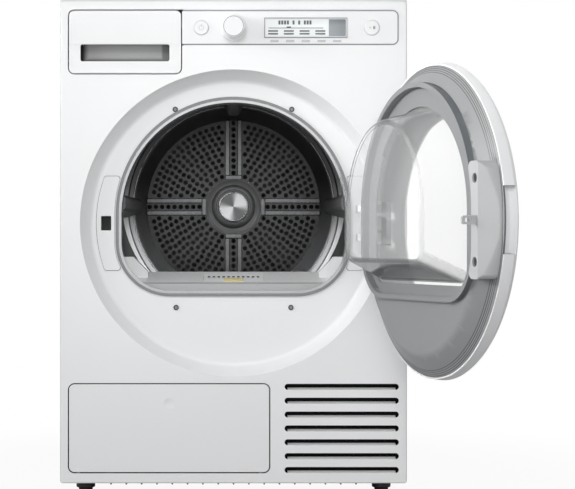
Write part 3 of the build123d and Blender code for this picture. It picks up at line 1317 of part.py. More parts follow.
# Rear panel with the air hole of the drum's duct, and the services that come out of it
with BuildPart() as rear_panel:
    plate(rounded(-HALF_WIDTH, HALF_WIDTH, FOOT_HEIGHT, SIDE_TOP, PANEL_CORNER), REAR_INSIDE, SHEET)
    plate(disc(0, DRUM_AXIS_HEIGHT, REAR_HOLE_RADIUS), REAR_INSIDE, SHEET, Mode.SUBTRACT)
    plate(disc(SPIGOT_X, SPIGOT_HEIGHT, SPIGOT_BORE), REAR_INSIDE, SHEET, Mode.SUBTRACT)
    with BuildSketch(front(REAR_INSIDE)) as vents:
        with Locations((0, VENT_HEIGHT)):
            with GridLocations(0, VENT_PITCH, 1, VENT_COUNT):
                SlotOverall(VENT_WIDTH, VENT_PITCH / 2)
    extrude(vents.sketch, amount=-SHEET, mode=Mode.SUBTRACT)
rear_panel.part.label = "rear_panel"
export_step(rear_panel.part, "parts/rear_panel.step")

with BuildPart() as rear_duct_cover:
    turn(
        [
            (CABINET_DEPTH, DUCT_COVER_RADIUS),
            (CABINET_DEPTH, DUCT_COVER_RADIUS - DUCT_COVER_FLANGE),
            (CABINET_DEPTH + DUCT_COVER_RISE - SHEET, REAR_HOLE_RADIUS - DUCT_COVER_FLANGE),
            (CABINET_DEPTH + DUCT_COVER_RISE - SHEET, 0),
            (CABINET_DEPTH + DUCT_COVER_RISE, 0),
            (CABINET_DEPTH + DUCT_COVER_RISE, REAR_HOLE_RADIUS - DUCT_COVER_FLANGE + SHEET),
            (CABINET_DEPTH + SHEET, DUCT_COVER_RADIUS - DUCT_COVER_FLANGE + SHEET),
            (CABINET_DEPTH + SHEET, DUCT_COVER_RADIUS),
        ],
        0, DRUM_AXIS_HEIGHT,
    )
    for spoke in range(COVER_RIBS):
        with BuildSketch(front(CABINET_DEPTH + DUCT_COVER_RISE)) as cover_rib:
            with Locations((0, DRUM_AXIS_HEIGHT)):
                with PolarLocations(COVER_RIB_CIRCLE, 1, spoke * 360 / COVER_RIBS):
                    SlotOverall(COVER_RIB_LENGTH, COVER_RIB_WIDTH)
        extrude(cover_rib.sketch, amount=-SHEET)
rear_duct_cover.part.label = "rear_duct_cover"
export_step(rear_duct_cover.part, "parts/rear_duct_cover.step")

with BuildPart() as drain_spigot:
    turn(
        [
            (CABINET_DEPTH, SPIGOT_BORE),
            (CABINET_DEPTH, 2 * SPIGOT_RADIUS),
            (CABINET_DEPTH + SPIGOT_FLANGE, 2 * SPIGOT_RADIUS),
            (CABINET_DEPTH + SPIGOT_FLANGE, SPIGOT_RADIUS),
            (CABINET_DEPTH + SPIGOT_LENGTH, SPIGOT_RADIUS),
            (CABINET_DEPTH + SPIGOT_LENGTH, SPIGOT_BORE),
        ],
        SPIGOT_X, SPIGOT_HEIGHT,
    )
drain_spigot.part.label = "drain_spigot"
export_step(drain_spigot.part, "parts/drain_spigot.step")

with BuildPart() as mains_inlet:
    turn(
        [
            (CABINET_DEPTH, 0),
            (CABINET_DEPTH, INLET_FLANGE_RADIUS),
            (CABINET_DEPTH + SPIGOT_FLANGE, INLET_FLANGE_RADIUS),
            (CABINET_DEPTH + SPIGOT_FLANGE, INLET_RADIUS),
            (CABINET_DEPTH + 2 * SPIGOT_FLANGE, INLET_BOSS_RADIUS),
            (CABINET_DEPTH + 2 * SPIGOT_FLANGE, INLET_RADIUS / 2),
            (CABINET_DEPTH + SPIGOT_FLANGE, INLET_RADIUS / 2),
            (CABINET_DEPTH + SPIGOT_FLANGE, 0),
        ],
        INLET_X, INLET_HEIGHT,
    )
mains_inlet.part.label = "mains_inlet"
export_step(mains_inlet.part, "parts/mains_inlet.step")

# Front bulkhead behind the recess floor
tunnel_outside = grown_arch(TUNNEL_WALL)
BULKHEAD_BACK = FLOOR_BACK + BULKHEAD_SHEET
with BuildPart() as front_bulkhead:
    plate(
        rounded(-BULKHEAD_HALF, BULKHEAD_HALF, BULKHEAD_BOTTOM, BULKHEAD_TOP, PANEL_CORNER),
        FLOOR_BACK, BULKHEAD_SHEET,
    )
    plate(tunnel_outside, FLOOR_BACK, BULKHEAD_SHEET, Mode.SUBTRACT)
    plate(latch_hole, FLOOR_BACK, BULKHEAD_SHEET, Mode.SUBTRACT)
front_bulkhead.part.label = "front_bulkhead"
export_step(front_bulkhead.part, "parts/front_bulkhead.step")

# Filter shaft outline seen from above: the clearance round the lint filter and the wall round that
FILTER_FRONT = FILTER_DEPTH - FILTER_THICKNESS / 2
FILTER_REAR = FILTER_DEPTH + FILTER_THICKNESS / 2
SHAFT_MARGIN = CLEARANCE + FILTER_WALL


def filter_column(margin, bottom, top, mode=Mode.ADD):
    """Add or cut an upright column with the lint filter's plan, grown by a margin."""
    bar(
        [
            (FILTER_FRONT - margin, bottom),
            (FILTER_REAR + margin, bottom),
            (FILTER_REAR + margin, top),
            (FILTER_FRONT - margin, top),
        ],
        -FILTER_WIDTH / 2 - margin, FILTER_WIDTH + 2 * margin, mode,
    )


# Loading tunnel from the opening to the drum, with a flange that faces the drum's front
OPENING_BOTTOM = OPENING_Z - OPENING_DROP
with BuildPart() as tunnel:
    plate(tunnel_outside - opening, FLOOR_BACK, TUNNEL_BACK - FLOOR_BACK)
    plate(
        disc(0, DRUM_AXIS_HEIGHT, TUNNEL_FLANGE_RADIUS) - opening, TUNNEL_BACK - TUNNEL_WALL, TUNNEL_WALL
    )
    filter_column(SHAFT_MARGIN, OPENING_BOTTOM - 2 * TUNNEL_WALL, OPENING_BOTTOM + TUNNEL_WALL, Mode.SUBTRACT)
tunnel.part.label = "tunnel"
export_step(tunnel.part, "parts/tunnel.step")

# Bright trim inside the edge of the opening, and the door seal round it
with BuildPart() as opening_trim:
    plate(opening - grown_arch(-TRIM_WIDTH), RECESS_DEPTH - SHEET, TRIM_DEPTH)
    plate(grown_arch(TRIM_WIDTH) - opening, RECESS_DEPTH - SHEET, SHEET)
opening_trim.part.label = "opening_trim"
export_step(opening_trim.part, "parts/opening_trim.step")

with BuildPart() as door_seal:
    plate(
        grown_arch(TRIM_WIDTH + SEAL_WIDTH) - grown_arch(TRIM_WIDTH), RECESS_DEPTH - SEAL_HEIGHT, SEAL_HEIGHT
    )
door_seal.part.label = "door_seal"
export_step(door_seal.part, "parts/door_seal.step")

# Filter ledge: the rising floor of the tunnel with raised ends and the shaft of the lint filter
LEDGE_FRONT = RECESS_DEPTH + TRIM_DEPTH
LEDGE_FRONT_TOP = OPENING_BOTTOM + LEDGE_STEP
LEDGE_BACK_TOP = OPENING_BOTTOM + LEDGE_RISE


def ledge_height(depth):
    """Return the height of the ledge's sloping top at a depth."""
    share = (depth - LEDGE_FRONT) / (TUNNEL_BACK - LEDGE_FRONT)
    return LEDGE_FRONT_TOP + share * (LEDGE_BACK_TOP - LEDGE_FRONT_TOP)


with BuildPart() as filter_ledge:
    bar(
        [
            (LEDGE_FRONT, OPENING_BOTTOM),
            (TUNNEL_BACK, OPENING_BOTTOM),
            (TUNNEL_BACK, LEDGE_BACK_TOP),
            (LEDGE_FRONT, LEDGE_FRONT_TOP),
        ],
        -OPENING_RADIUS, 2 * OPENING_RADIUS,
    )
    for side in (-1, 1):
        with BuildSketch(front(LOBE_DEPTH)) as lobe:
            with BuildLine():
                Polyline(
                    (side * LOBE_INNER, OPENING_BOTTOM),
                    (side * LOBE_INNER, LEDGE_BACK_TOP),
                    (side * LOBE_CREST, LEDGE_TOP),
                    (side * OPENING_RADIUS, LEDGE_TOP),
                    (side * OPENING_RADIUS, OPENING_BOTTOM),
                    close=True,
                )
            make_face()
        extrude(lobe.sketch, amount=-(TUNNEL_BACK - LOBE_DEPTH))
    plate(opening, LEDGE_FRONT, TUNNEL_BACK - LEDGE_FRONT, Mode.INTERSECT)
    filter_column(SHAFT_MARGIN, FILTER_BOTTOM - SHAFT_MARGIN, LEDGE_FRONT_TOP)
    filter_column(CLEARANCE, FILTER_BOTTOM, LEDGE_TOP, Mode.SUBTRACT)
filter_ledge.part.label = "filter_ledge"
export_step(filter_ledge.part, "parts/filter_ledge.step")

# Lint filter: a thin-walled box with a sloped, slotted top
with BuildPart() as lint_filter:
    bar(
        [
            (FILTER_FRONT, FILTER_BOTTOM + CLEARANCE),
            (FILTER_REAR, FILTER_BOTTOM + CLEARANCE),
            (FILTER_REAR, ledge_height(FILTER_REAR)),
            (FILTER_FRONT, ledge_height(FILTER_FRONT)),
        ],
        -FILTER_WIDTH / 2, FILTER_WIDTH,
    )
    bar(
        [
            (FILTER_FRONT + FILTER_WALL, FILTER_BOTTOM + CLEARANCE + FILTER_WALL),
            (FILTER_REAR - FILTER_WALL, FILTER_BOTTOM + CLEARANCE + FILTER_WALL),
            (FILTER_REAR - FILTER_WALL, ledge_height(FILTER_REAR) - FILTER_WALL),
            (FILTER_FRONT + FILTER_WALL, ledge_height(FILTER_FRONT) - FILTER_WALL),
        ],
        -FILTER_WIDTH / 2 + FILTER_WALL, FILTER_WIDTH - 2 * FILTER_WALL, Mode.SUBTRACT,
    )
    with BuildSketch(Plane.XY.offset(LEDGE_TOP)) as filter_slots:
        with Locations((0, FRONT_Y + FILTER_SLOT_DEPTH)):
            with GridLocations(FILTER_SLOT_PITCH, 0, FILTER_SLOTS, 1):
                Rectangle(FILTER_SLOT_PITCH / 2, FILTER_SLOT_LENGTH)
    extrude(filter_slots.sketch, amount=-(LEDGE_TOP - FILTER_BOTTOM) / 2, mode=Mode.SUBTRACT)
lint_filter.part.label = "lint_filter"
export_step(lint_filter.part, "parts/lint_filter.step")

with BuildPart() as filter_tab:
    tab_rear = FILTER_FRONT + TAB_LENGTH
    bar(
        [
            (FILTER_FRONT, ledge_height(FILTER_FRONT)),
            (tab_rear, ledge_height(tab_rear)),
            (tab_rear, ledge_height(tab_rear) + TAB_THICKNESS),
            (FILTER_FRONT - TAB_THICKNESS, ledge_height(FILTER_FRONT) + TAB_THICKNESS),
        ],
        -TAB_WIDTH / 2, TAB_WIDTH,
    )
filter_tab.part.label = "filter_tab"
export_step(filter_tab.part, "parts/filter_tab.step")

# Drum shell with its front flange and stiffening beads
with BuildPart() as drum_shell:
    shell_line = [(DRUM_FRONT_DEPTH, DRUM_LIP_RADIUS), (DRUM_FRONT_DEPTH, DRUM_RADIUS)]
    for bead_place in DRUM_BEAD_PLACES:
        bead_depth = DRUM_FRONT_DEPTH + bead_place
        shell_line.append((bead_depth - 2 * DRUM_BEAD, DRUM_RADIUS))
        shell_line.append((bead_depth, DRUM_RADIUS + DRUM_BEAD))
        shell_line.append((bead_depth + 2 * DRUM_BEAD, DRUM_RADIUS))
    turn(
        [
            *shell_line,
            (DRUM_REAR_DEPTH, DRUM_RADIUS),
            (DRUM_REAR_DEPTH, DRUM_INNER),
            (DRUM_FRONT_DEPTH + DRUM_SHEET, DRUM_INNER),
            (DRUM_FRONT_DEPTH + DRUM_SHEET, DRUM_LIP_RADIUS + DRUM_SHEET),
            (DRUM_FRONT_DEPTH + DRUM_BEAD * 2, DRUM_LIP_RADIUS + DRUM_SHEET),
            (DRUM_FRONT_DEPTH + DRUM_BEAD * 2, DRUM_LIP_RADIUS),
        ],
        0, DRUM_AXIS_HEIGHT,
    )
drum_shell.part.label = "drum_shell"
export_step(drum_shell.part, "parts/drum_shell.step")

# Drum rear wall: perforated middle, dished ring with a bright edge, stepped rings, spokes and a hub hole
SPOKE_LENGTH = PERFORATED_RADIUS - HUB_RADIUS - 2 * SPOKE_RISE
SECTOR_ANGLE = 360 / LIFTER_COUNT
wall_line = [
    (WALL_DEPTH, HUB_BORE),
    (WALL_DEPTH, PERFORATED_RADIUS),
    (WALL_DEPTH - DISH_RISE, DISH_RADIUS),
    (WALL_DEPTH - DISH_RISE + WALL_STEP, DISH_RADIUS + WALL_STEP),
    (WALL_DEPTH - DISH_RISE + WALL_STEP, DISH_RADIUS + 4 * WALL_STEP),
    (WALL_DEPTH - DISH_RISE, DISH_RADIUS + 5 * WALL_STEP),
    (WALL_DEPTH - DISH_RISE, DISH_RADIUS + 8 * WALL_STEP),
    (WALL_DEPTH - DRUM_BEAD, DRUM_INNER - DRUM_SHEET),
    (DRUM_REAR_DEPTH, DRUM_INNER - DRUM_SHEET),
]
wall_back = [
    (DRUM_REAR_DEPTH, DRUM_INNER),
    (WALL_DEPTH - DRUM_BEAD - DRUM_SHEET, DRUM_INNER),
    (WALL_DEPTH - DISH_RISE - DRUM_SHEET, DISH_RADIUS + 8 * WALL_STEP + DRUM_SHEET / 2),
    (WALL_DEPTH - DISH_RISE - DRUM_SHEET, DISH_RADIUS + 5 * WALL_STEP - DRUM_SHEET / 2),
    (WALL_DEPTH - DISH_RISE + WALL_STEP - DRUM_SHEET, DISH_RADIUS + 4 * WALL_STEP - DRUM_SHEET / 2),
    (WALL_DEPTH - DISH_RISE + WALL_STEP - DRUM_SHEET, DISH_RADIUS + WALL_STEP + DRUM_SHEET / 2),
    (WALL_DEPTH - DISH_RISE - DRUM_SHEET, DISH_RADIUS + DRUM_SHEET / 2),
    (WALL_DEPTH - DRUM_SHEET, PERFORATED_RADIUS - DRUM_SHEET),
    (WALL_DEPTH - DRUM_SHEET, HUB_BORE),
]
with BuildPart() as drum_rear_wall:
    turn(wall_line + wall_back, 0, DRUM_AXIS_HEIGHT)
    with BuildSketch(front(WALL_DEPTH - DRUM_SHEET)) as wall_spokes:
        with Locations((0, DRUM_AXIS_HEIGHT)):
            with PolarLocations((HUB_RADIUS + PERFORATED_RADIUS) / 2, LIFTER_COUNT):
                Rectangle(SPOKE_LENGTH, SPOKE_WIDTH)
                Rectangle(SPOKE_LENGTH - 2 * SPOKE_RAIL, SPOKE_WIDTH - 2 * SPOKE_RAIL, mode=Mode.SUBTRACT)
    extrude(wall_spokes.sketch, amount=SPOKE_RISE)
    with BuildSketch(front(WALL_DEPTH)) as wall_holes:
        with Locations((0, DRUM_AXIS_HEIGHT)):
            for ring in range(HOLE_RINGS):
                ring_radius = HUB_RADIUS + HOLE_RING_PITCH * (ring + 1)
                per_sector = int((ring_radius * radians(SECTOR_ANGLE) - SPOKE_WIDTH) / HOLE_PITCH)
                with PolarLocations(ring_radius - HOLE_RADIUS, LIFTER_COUNT):
                    RegularPolygon(HOLE_RADIUS, 6)
                for sector in range(LIFTER_COUNT):
                    for hole in range(per_sector):
                        turn_share = (hole + 1) / (per_sector + 1)
                        lean = asin(SPOKE_WIDTH / 2 / ring_radius) * (1 - 2 * turn_share)
                        hole_angle = degrees(lean) + SECTOR_ANGLE * (sector + turn_share)
                        with PolarLocations(ring_radius, 1, hole_angle):
                            RegularPolygon(HOLE_RADIUS, 6)
    extrude(wall_holes.sketch, amount=2 * DRUM_SHEET, mode=Mode.SUBTRACT)
drum_rear_wall.part.label = "drum_rear_wall"
export_step(drum_rear_wall.part, "parts/drum_rear_wall.step")

# Hub: stepped ring and cap in front of the wall, shaft behind it
with BuildPart() as drum_hub:
    hub_back = WALL_DEPTH - DRUM_SHEET
    turn(
        [
            (hub_back, HUB_RADIUS),
            (hub_back - HUB_SHOULDER, HUB_RADIUS - HUB_LEAN),
            (hub_back - HUB_RISE, CAP_RADIUS + HUB_FACE),
            (hub_back - HUB_RISE, CAP_RADIUS),
            (hub_back - HUB_RISE + CAP_GROOVE, CAP_RADIUS - CAP_GROOVE),
            (hub_back - HUB_RISE - CAP_CROWN, CAP_RADIUS - CAP_INSET),
            (hub_back - HUB_RISE - CAP_CROWN, 0),
            (DRUM_REAR_DEPTH + SHAFT_LENGTH, 0),
            (DRUM_REAR_DEPTH + SHAFT_LENGTH, SHAFT_RADIUS),
            (hub_back, SHAFT_RADIUS),
        ],
        0, DRUM_AXIS_HEIGHT,
    )
drum_hub.part.label = "drum_hub"
export_step(drum_hub.part, "parts/drum_hub.step")

# Lifters: ridges along the drum's inside, narrowing and rising towards the back
LIFTER_BACK = WALL_DEPTH - DISH_RISE - LIFTER_END_GAP
LIFTER_FRONT = DRUM_FRONT_DEPTH + 2 * DRUM_BEAD + CLEARANCE


def lifter_section(depth, crest, inset):
    """Return one lifter's section below the drum's axis at a depth, shrunk by an inset."""
    foot = DRUM_AXIS_HEIGHT - DRUM_RADIUS
    top = DRUM_AXIS_HEIGHT - crest - inset
    half_base = LIFTER_BASE_WIDTH / 2 - inset
    half_crest = LIFTER_CREST_WIDTH / 2 - inset
    with BuildSketch(front(depth)) as section:
        with BuildLine():
            Polyline(
                (-half_base, foot), (-half_crest, top), (half_crest, top), (half_base, foot), close=True
            )
        make_face()
        fillet(section.vertices().group_by(Axis.Z)[-1], half_crest * LIFTER_ROUNDNESS)
    return section.sketch


with BuildPart() as lifters:
    outside = loft(
        [
            lifter_section(LIFTER_FRONT, LIFTER_FRONT_CREST, 0),
            lifter_section(LIFTER_BACK, LIFTER_REAR_CREST, 0),
        ],
        mode=Mode.PRIVATE,
    )
    inside = loft(
        [
            lifter_section(LIFTER_FRONT + LIFTER_WALL, LIFTER_FRONT_CREST, LIFTER_WALL),
            lifter_section(LIFTER_BACK - LIFTER_WALL, LIFTER_REAR_CREST, LIFTER_WALL),
        ],
        mode=Mode.PRIVATE,
    )
    one_lifter = outside - inside
    for lifter in range(LIFTER_COUNT):
        add(one_lifter.rotate(spin_axis(0, DRUM_AXIS_HEIGHT), lifter * SECTOR_ANGLE))
    plate(
        disc(0, DRUM_AXIS_HEIGHT, DRUM_INNER), LIFTER_FRONT, LIFTER_BACK - LIFTER_FRONT, Mode.INTERSECT
    )
lifters.part.label = "lifters"
export_step(lifters.part, "parts/lifters.step")

# Support rollers under the drum's front and the axles that carry them
ROLLER_FRONT = DRUM_FRONT_DEPTH + ROLLER_SETBACK


def roller(side):
    """Add one support roller with a grooved tyre."""
    turn(
        [
            (ROLLER_FRONT, AXLE_RADIUS + RUNNING_FIT),
            (ROLLER_FRONT, ROLLER_RADIUS - AXLE_RADIUS),
            (ROLLER_FRONT + ROLLER_BEVEL, ROLLER_RADIUS),
            (ROLLER_FRONT + ROLLER_WIDTH - ROLLER_BEVEL, ROLLER_RADIUS),
            (ROLLER_FRONT + ROLLER_WIDTH, ROLLER_RADIUS - AXLE_RADIUS),
            (ROLLER_FRONT + ROLLER_WIDTH, AXLE_RADIUS + RUNNING_FIT),
        ],
        side * ROLLER_X, ROLLER_Z,
    )


with BuildPart() as left_roller:
    roller(-1)
left_roller.part.label = "left_roller"
export_step(left_roller.part, "parts/left_roller.step")

with BuildPart() as right_roller:
    roller(1)
right_roller.part.label = "right_roller"
export_step(right_roller.part, "parts/right_roller.step")

with BuildPart() as roller_axles:
    for side in (-1, 1):
        turn(
            [
                (BULKHEAD_BACK, 0),
                (BULKHEAD_BACK, 3 * AXLE_RADIUS),
                (BULKHEAD_BACK + AXLE_RADIUS, 2 * AXLE_RADIUS),
                (ROLLER_FRONT - CLEARANCE, 2 * AXLE_RADIUS),
                (ROLLER_FRONT - CLEARANCE, AXLE_RADIUS),
                (ROLLER_FRONT + ROLLER_WIDTH + CLEARANCE, AXLE_RADIUS),
                (ROLLER_FRONT + ROLLER_WIDTH + CLEARANCE, 2 * AXLE_RADIUS),
                (ROLLER_FRONT + ROLLER_WIDTH + AXLE_RADIUS, 2 * AXLE_RADIUS),
                (ROLLER_FRONT + ROLLER_WIDTH + AXLE_RADIUS, 0),
            ],
            side * ROLLER_X, ROLLER_Z,
        )
roller_axles.part.label = "roller_axles"
export_step(roller_axles.part, "parts/roller_axles.step")

# Rear bearing cross, held off the rear panel by posts
CROSS_FRONT = DRUM_REAR_DEPTH + CROSS_SETBACK
with BuildPart() as bearing_bracket:
    for tilt in (BRACKET_TILT, BRACKET_TILT + 90):
        with BuildSketch(front(CROSS_FRONT)) as cross_arm:
            with Locations((0, DRUM_AXIS_HEIGHT)):
                SlotOverall(2 * BRACKET_REACH + BRACKET_ARM_WIDTH, BRACKET_ARM_WIDTH, rotation=tilt)
        extrude(cross_arm.sketch, amount=-BRACKET_ARM_THICKNESS)
    plate(disc(0, DRUM_AXIS_HEIGHT, BEARING_RADIUS), CROSS_FRONT, BEARING_WIDTH)
    with BuildSketch(front(CROSS_FRONT)) as cross_posts:
        with Locations((0, DRUM_AXIS_HEIGHT)):
            with PolarLocations(BRACKET_REACH, 4, BRACKET_TILT):
                Circle(BRACKET_ARM_WIDTH / 2)
    extrude(cross_posts.sketch, amount=CROSS_FRONT - REAR_INSIDE)
    plate(
        disc(0, DRUM_AXIS_HEIGHT, SHAFT_RADIUS + RUNNING_FIT), CROSS_FRONT, REAR_INSIDE, Mode.SUBTRACT
    )
bearing_bracket.part.label = "bearing_bracket"
export_step(bearing_bracket.part, "parts/bearing_bracket.step")

# Motor: round body on a saddle, with a bore for the rotor's shaft
MOTOR_FRONT = BELT_DEPTH - BELT_WIDTH - MOTOR_LENGTH
with BuildPart() as motor:
    turn(
        [
            (MOTOR_FRONT, MOTOR_SHAFT_RADIUS + RUNNING_FIT),
            (MOTOR_FRONT, MOTOR_NOSE_RADIUS),
            (MOTOR_FRONT + MOTOR_NOSE, MOTOR_BEVEL_RADIUS),
            (MOTOR_FRONT + MOTOR_NOSE + MOTOR_BEVEL, MOTOR_RADIUS),
            (MOTOR_FRONT + MOTOR_LENGTH - MOTOR_NOSE - MOTOR_BEVEL, MOTOR_RADIUS),
            (MOTOR_FRONT + MOTOR_LENGTH - MOTOR_NOSE, MOTOR_BEVEL_RADIUS),
            (MOTOR_FRONT + MOTOR_LENGTH, MOTOR_NOSE_RADIUS),
            (MOTOR_FRONT + MOTOR_LENGTH, MOTOR_SHAFT_RADIUS + RUNNING_FIT),
        ],
        MOTOR_X, MOTOR_HEIGHT,
    )
    saddle = rounded(
        MOTOR_X - SADDLE_HALF_WIDTH, MOTOR_X + SADDLE_HALF_WIDTH, BASE_TOP,
        MOTOR_HEIGHT - MOTOR_NOSE_RADIUS, BASE_WALL,
    )
    plate(
        saddle - disc(MOTOR_X, MOTOR_HEIGHT, MOTOR_RADIUS - BASE_WALL), MOTOR_FRONT + SADDLE_SETBACK,
        SADDLE_LENGTH,
    )
motor.part.label = "motor"
export_step(motor.part, "parts/motor.step")

# Rotor: shaft with the belt pulley behind the motor and the fan wheel in front of it
FAN_BACK = MOTOR_FRONT - FAN_SETBACK
with BuildPart() as rotor:
    plate(
        disc(MOTOR_X, MOTOR_HEIGHT, MOTOR_SHAFT_RADIUS), FAN_BACK - FAN_WALL,
        BELT_DEPTH + BELT_WIDTH + BELT_THICKNESS - FAN_BACK + FAN_WALL,
    )
    turn(
        [
            (BELT_DEPTH - BELT_THICKNESS, 0),
            (BELT_DEPTH - BELT_THICKNESS, PULLEY_RADIUS + BELT_THICKNESS),
            (BELT_DEPTH - CLEARANCE, PULLEY_RADIUS),
            (BELT_DEPTH + BELT_WIDTH + CLEARANCE, PULLEY_RADIUS),
            (BELT_DEPTH + BELT_WIDTH + BELT_THICKNESS, PULLEY_RADIUS + BELT_THICKNESS),
            (BELT_DEPTH + BELT_WIDTH + BELT_THICKNESS, 0),
        ],
        MOTOR_X, MOTOR_HEIGHT,
    )
    plate(disc(MOTOR_X, MOTOR_HEIGHT, FAN_RADIUS), FAN_BACK - FAN_WALL, FAN_WALL)
    with BuildSketch(front(FAN_BACK - FAN_WALL)) as blades:
        with Locations((MOTOR_X, MOTOR_HEIGHT)):
            with PolarLocations(FAN_BLADE_CIRCLE, FAN_BLADES):
                Rectangle(FAN_BLADE_LENGTH, FAN_WALL, rotation=FAN_BLADE_LEAN)
    extrude(blades.sketch, amount=FAN_WIDTH)
rotor.part.label = "rotor"
export_step(rotor.part, "parts/rotor.step")

with BuildPart() as fan_housing:
    fan_front = FAN_BACK - FAN_WALL - FAN_WIDTH - FAN_WALL
    shroud = disc(MOTOR_X, MOTOR_HEIGHT, FAN_RADIUS + 4 * FAN_WALL)
    shroud += rounded(
        MOTOR_X - FAN_RADIUS, MOTOR_X + FAN_RADIUS, BASE_TOP, MOTOR_HEIGHT, FAN_WALL,
    )
    plate(shroud, fan_front, FAN_BACK + 2 * FAN_WALL - fan_front)
    plate(disc(MOTOR_X, MOTOR_HEIGHT, FAN_RADIUS + 2 * FAN_WALL), fan_front, FAN_BACK + FAN_WALL - fan_front,
          Mode.SUBTRACT)
    plate(disc(MOTOR_X, MOTOR_HEIGHT, 2 * MOTOR_SHAFT_RADIUS), fan_front, FAN_BACK, Mode.SUBTRACT)
fan_housing.part.label = "fan_housing"
export_step(fan_housing.part, "parts/fan_housing.step")

# Idler pulley on a bracket that stands on the base
with BuildPart() as idler_pulley:
    turn(
        [
            (BELT_DEPTH - BELT_THICKNESS, AXLE_RADIUS + RUNNING_FIT),
            (BELT_DEPTH - BELT_THICKNESS, IDLER_RADIUS + BELT_THICKNESS),
            (BELT_DEPTH - CLEARANCE, IDLER_RADIUS),
            (BELT_DEPTH + BELT_WIDTH + CLEARANCE, IDLER_RADIUS),
            (BELT_DEPTH + BELT_WIDTH + BELT_THICKNESS, IDLER_RADIUS + BELT_THICKNESS),
            (BELT_DEPTH + BELT_WIDTH + BELT_THICKNESS, AXLE_RADIUS + RUNNING_FIT),
        ],
        IDLER_X, IDLER_HEIGHT,
    )
idler_pulley.part.label = "idler_pulley"
export_step(idler_pulley.part, "parts/idler_pulley.step")

with BuildPart() as idler_bracket:
    bracket_front = BELT_DEPTH + BELT_WIDTH + BELT_THICKNESS + CLEARANCE
    with BuildSketch(front(bracket_front)) as idler_arm:
        with Locations((IDLER_X, IDLER_HEIGHT)):
            Circle(2 * AXLE_RADIUS)
        with Locations((IDLER_X, BASE_TOP)):
            Rectangle(4 * AXLE_RADIUS, IDLER_HEIGHT - BASE_TOP, align=(Align.CENTER, Align.MIN))
    extrude(idler_arm.sketch, amount=-BRACKET_ARM_THICKNESS)
    axle_front = BELT_DEPTH - BELT_THICKNESS - CLEARANCE
    plate(disc(IDLER_X, IDLER_HEIGHT, AXLE_RADIUS), axle_front, bracket_front - axle_front)
    bar(
        [
            (bracket_front, BASE_TOP),
            (bracket_front + 4 * BRACKET_ARM_THICKNESS, BASE_TOP),
            (bracket_front + 4 * BRACKET_ARM_THICKNESS, BASE_TOP + BASE_WALL),
            (bracket_front, BASE_TOP + BASE_WALL),
        ],
        IDLER_X - 2 * AXLE_RADIUS, 4 * AXLE_RADIUS,
    )
idler_bracket.part.label = "idler_bracket"
export_step(idler_bracket.part, "parts/idler_bracket.step")


def belt_path(extra):
    """Return the belt's loop round the drum, the motor pulley and the idler, moved outwards."""
    with BuildSketch(Plane.XY) as loop:
        with Locations((0, DRUM_AXIS_HEIGHT)):
            Circle(DRUM_RADIUS + extra)
        with Locations((MOTOR_X, MOTOR_HEIGHT)):
            Circle(PULLEY_RADIUS + extra)
        with Locations((IDLER_X, IDLER_HEIGHT)):
            Circle(IDLER_RADIUS + extra)
        make_hull()
    return loop.sketch


with BuildPart() as drive_belt:
    plate(belt_path(CLEARANCE + BELT_THICKNESS) - belt_path(CLEARANCE), BELT_DEPTH, BELT_WIDTH)
drive_belt.part.label = "drive_belt"
export_step(drive_belt.part, "parts/drive_belt.step")

# Heat exchangers on the base: two grooved blocks, one behind the other
with BuildPart() as heat_exchangers:
    coil_outline = rounded(
        EXCHANGER_LEFT, EXCHANGER_LEFT + EXCHANGER_WIDTH, BASE_TOP, EXCHANGER_TOP, FIN_CORNER
    )
    plate(coil_outline, EVAPORATOR_DEPTH, EVAPORATOR_LENGTH)
    plate(coil_outline, CONDENSER_DEPTH, CONDENSER_LENGTH)
    with BuildSketch(front(EVAPORATOR_DEPTH)) as fin_gaps:
        with Locations((EXCHANGER_LEFT + EXCHANGER_WIDTH / 2, EXCHANGER_TOP)):
            with GridLocations(FIN_PITCH, 0, FIN_COUNT, 1):
                Rectangle(FIN_GAP, 2 * FIN_HEIGHT)
    extrude(
        fin_gaps.sketch, amount=EVAPORATOR_DEPTH - CONDENSER_DEPTH - CONDENSER_LENGTH, mode=Mode.SUBTRACT
    )
heat_exchangers.part.label = "heat_exchangers"
export_step(heat_exchangers.part, "parts/heat_exchangers.step")

with BuildPart() as compressor:
    with Locations((COMPRESSOR_X, FRONT_Y + COMPRESSOR_DEPTH, BASE_TOP)):
        Cylinder(
            COMPRESSOR_RADIUS, COMPRESSOR_HEIGHT, align=(Align.CENTER, Align.CENTER, Align.MIN)
        )
    fillet(compressor.faces().sort_by(Axis.Z)[-1].edges(), COMPRESSOR_DOME)
    with Locations((COMPRESSOR_X, FRONT_Y + COMPRESSOR_DEPTH, BASE_TOP)):
        Box(
            COMPRESSOR_FOOT, COMPRESSOR_FOOT, BASE_WALL,
            align=(Align.CENTER, Align.CENTER, Align.MIN),
        )
compressor.part.label = "compressor"
export_step(compressor.part, "parts/compressor.step")
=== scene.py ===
"""Finishes, fine detail and stage for a front-loading clothes dryer with its door open."""

import json
import math

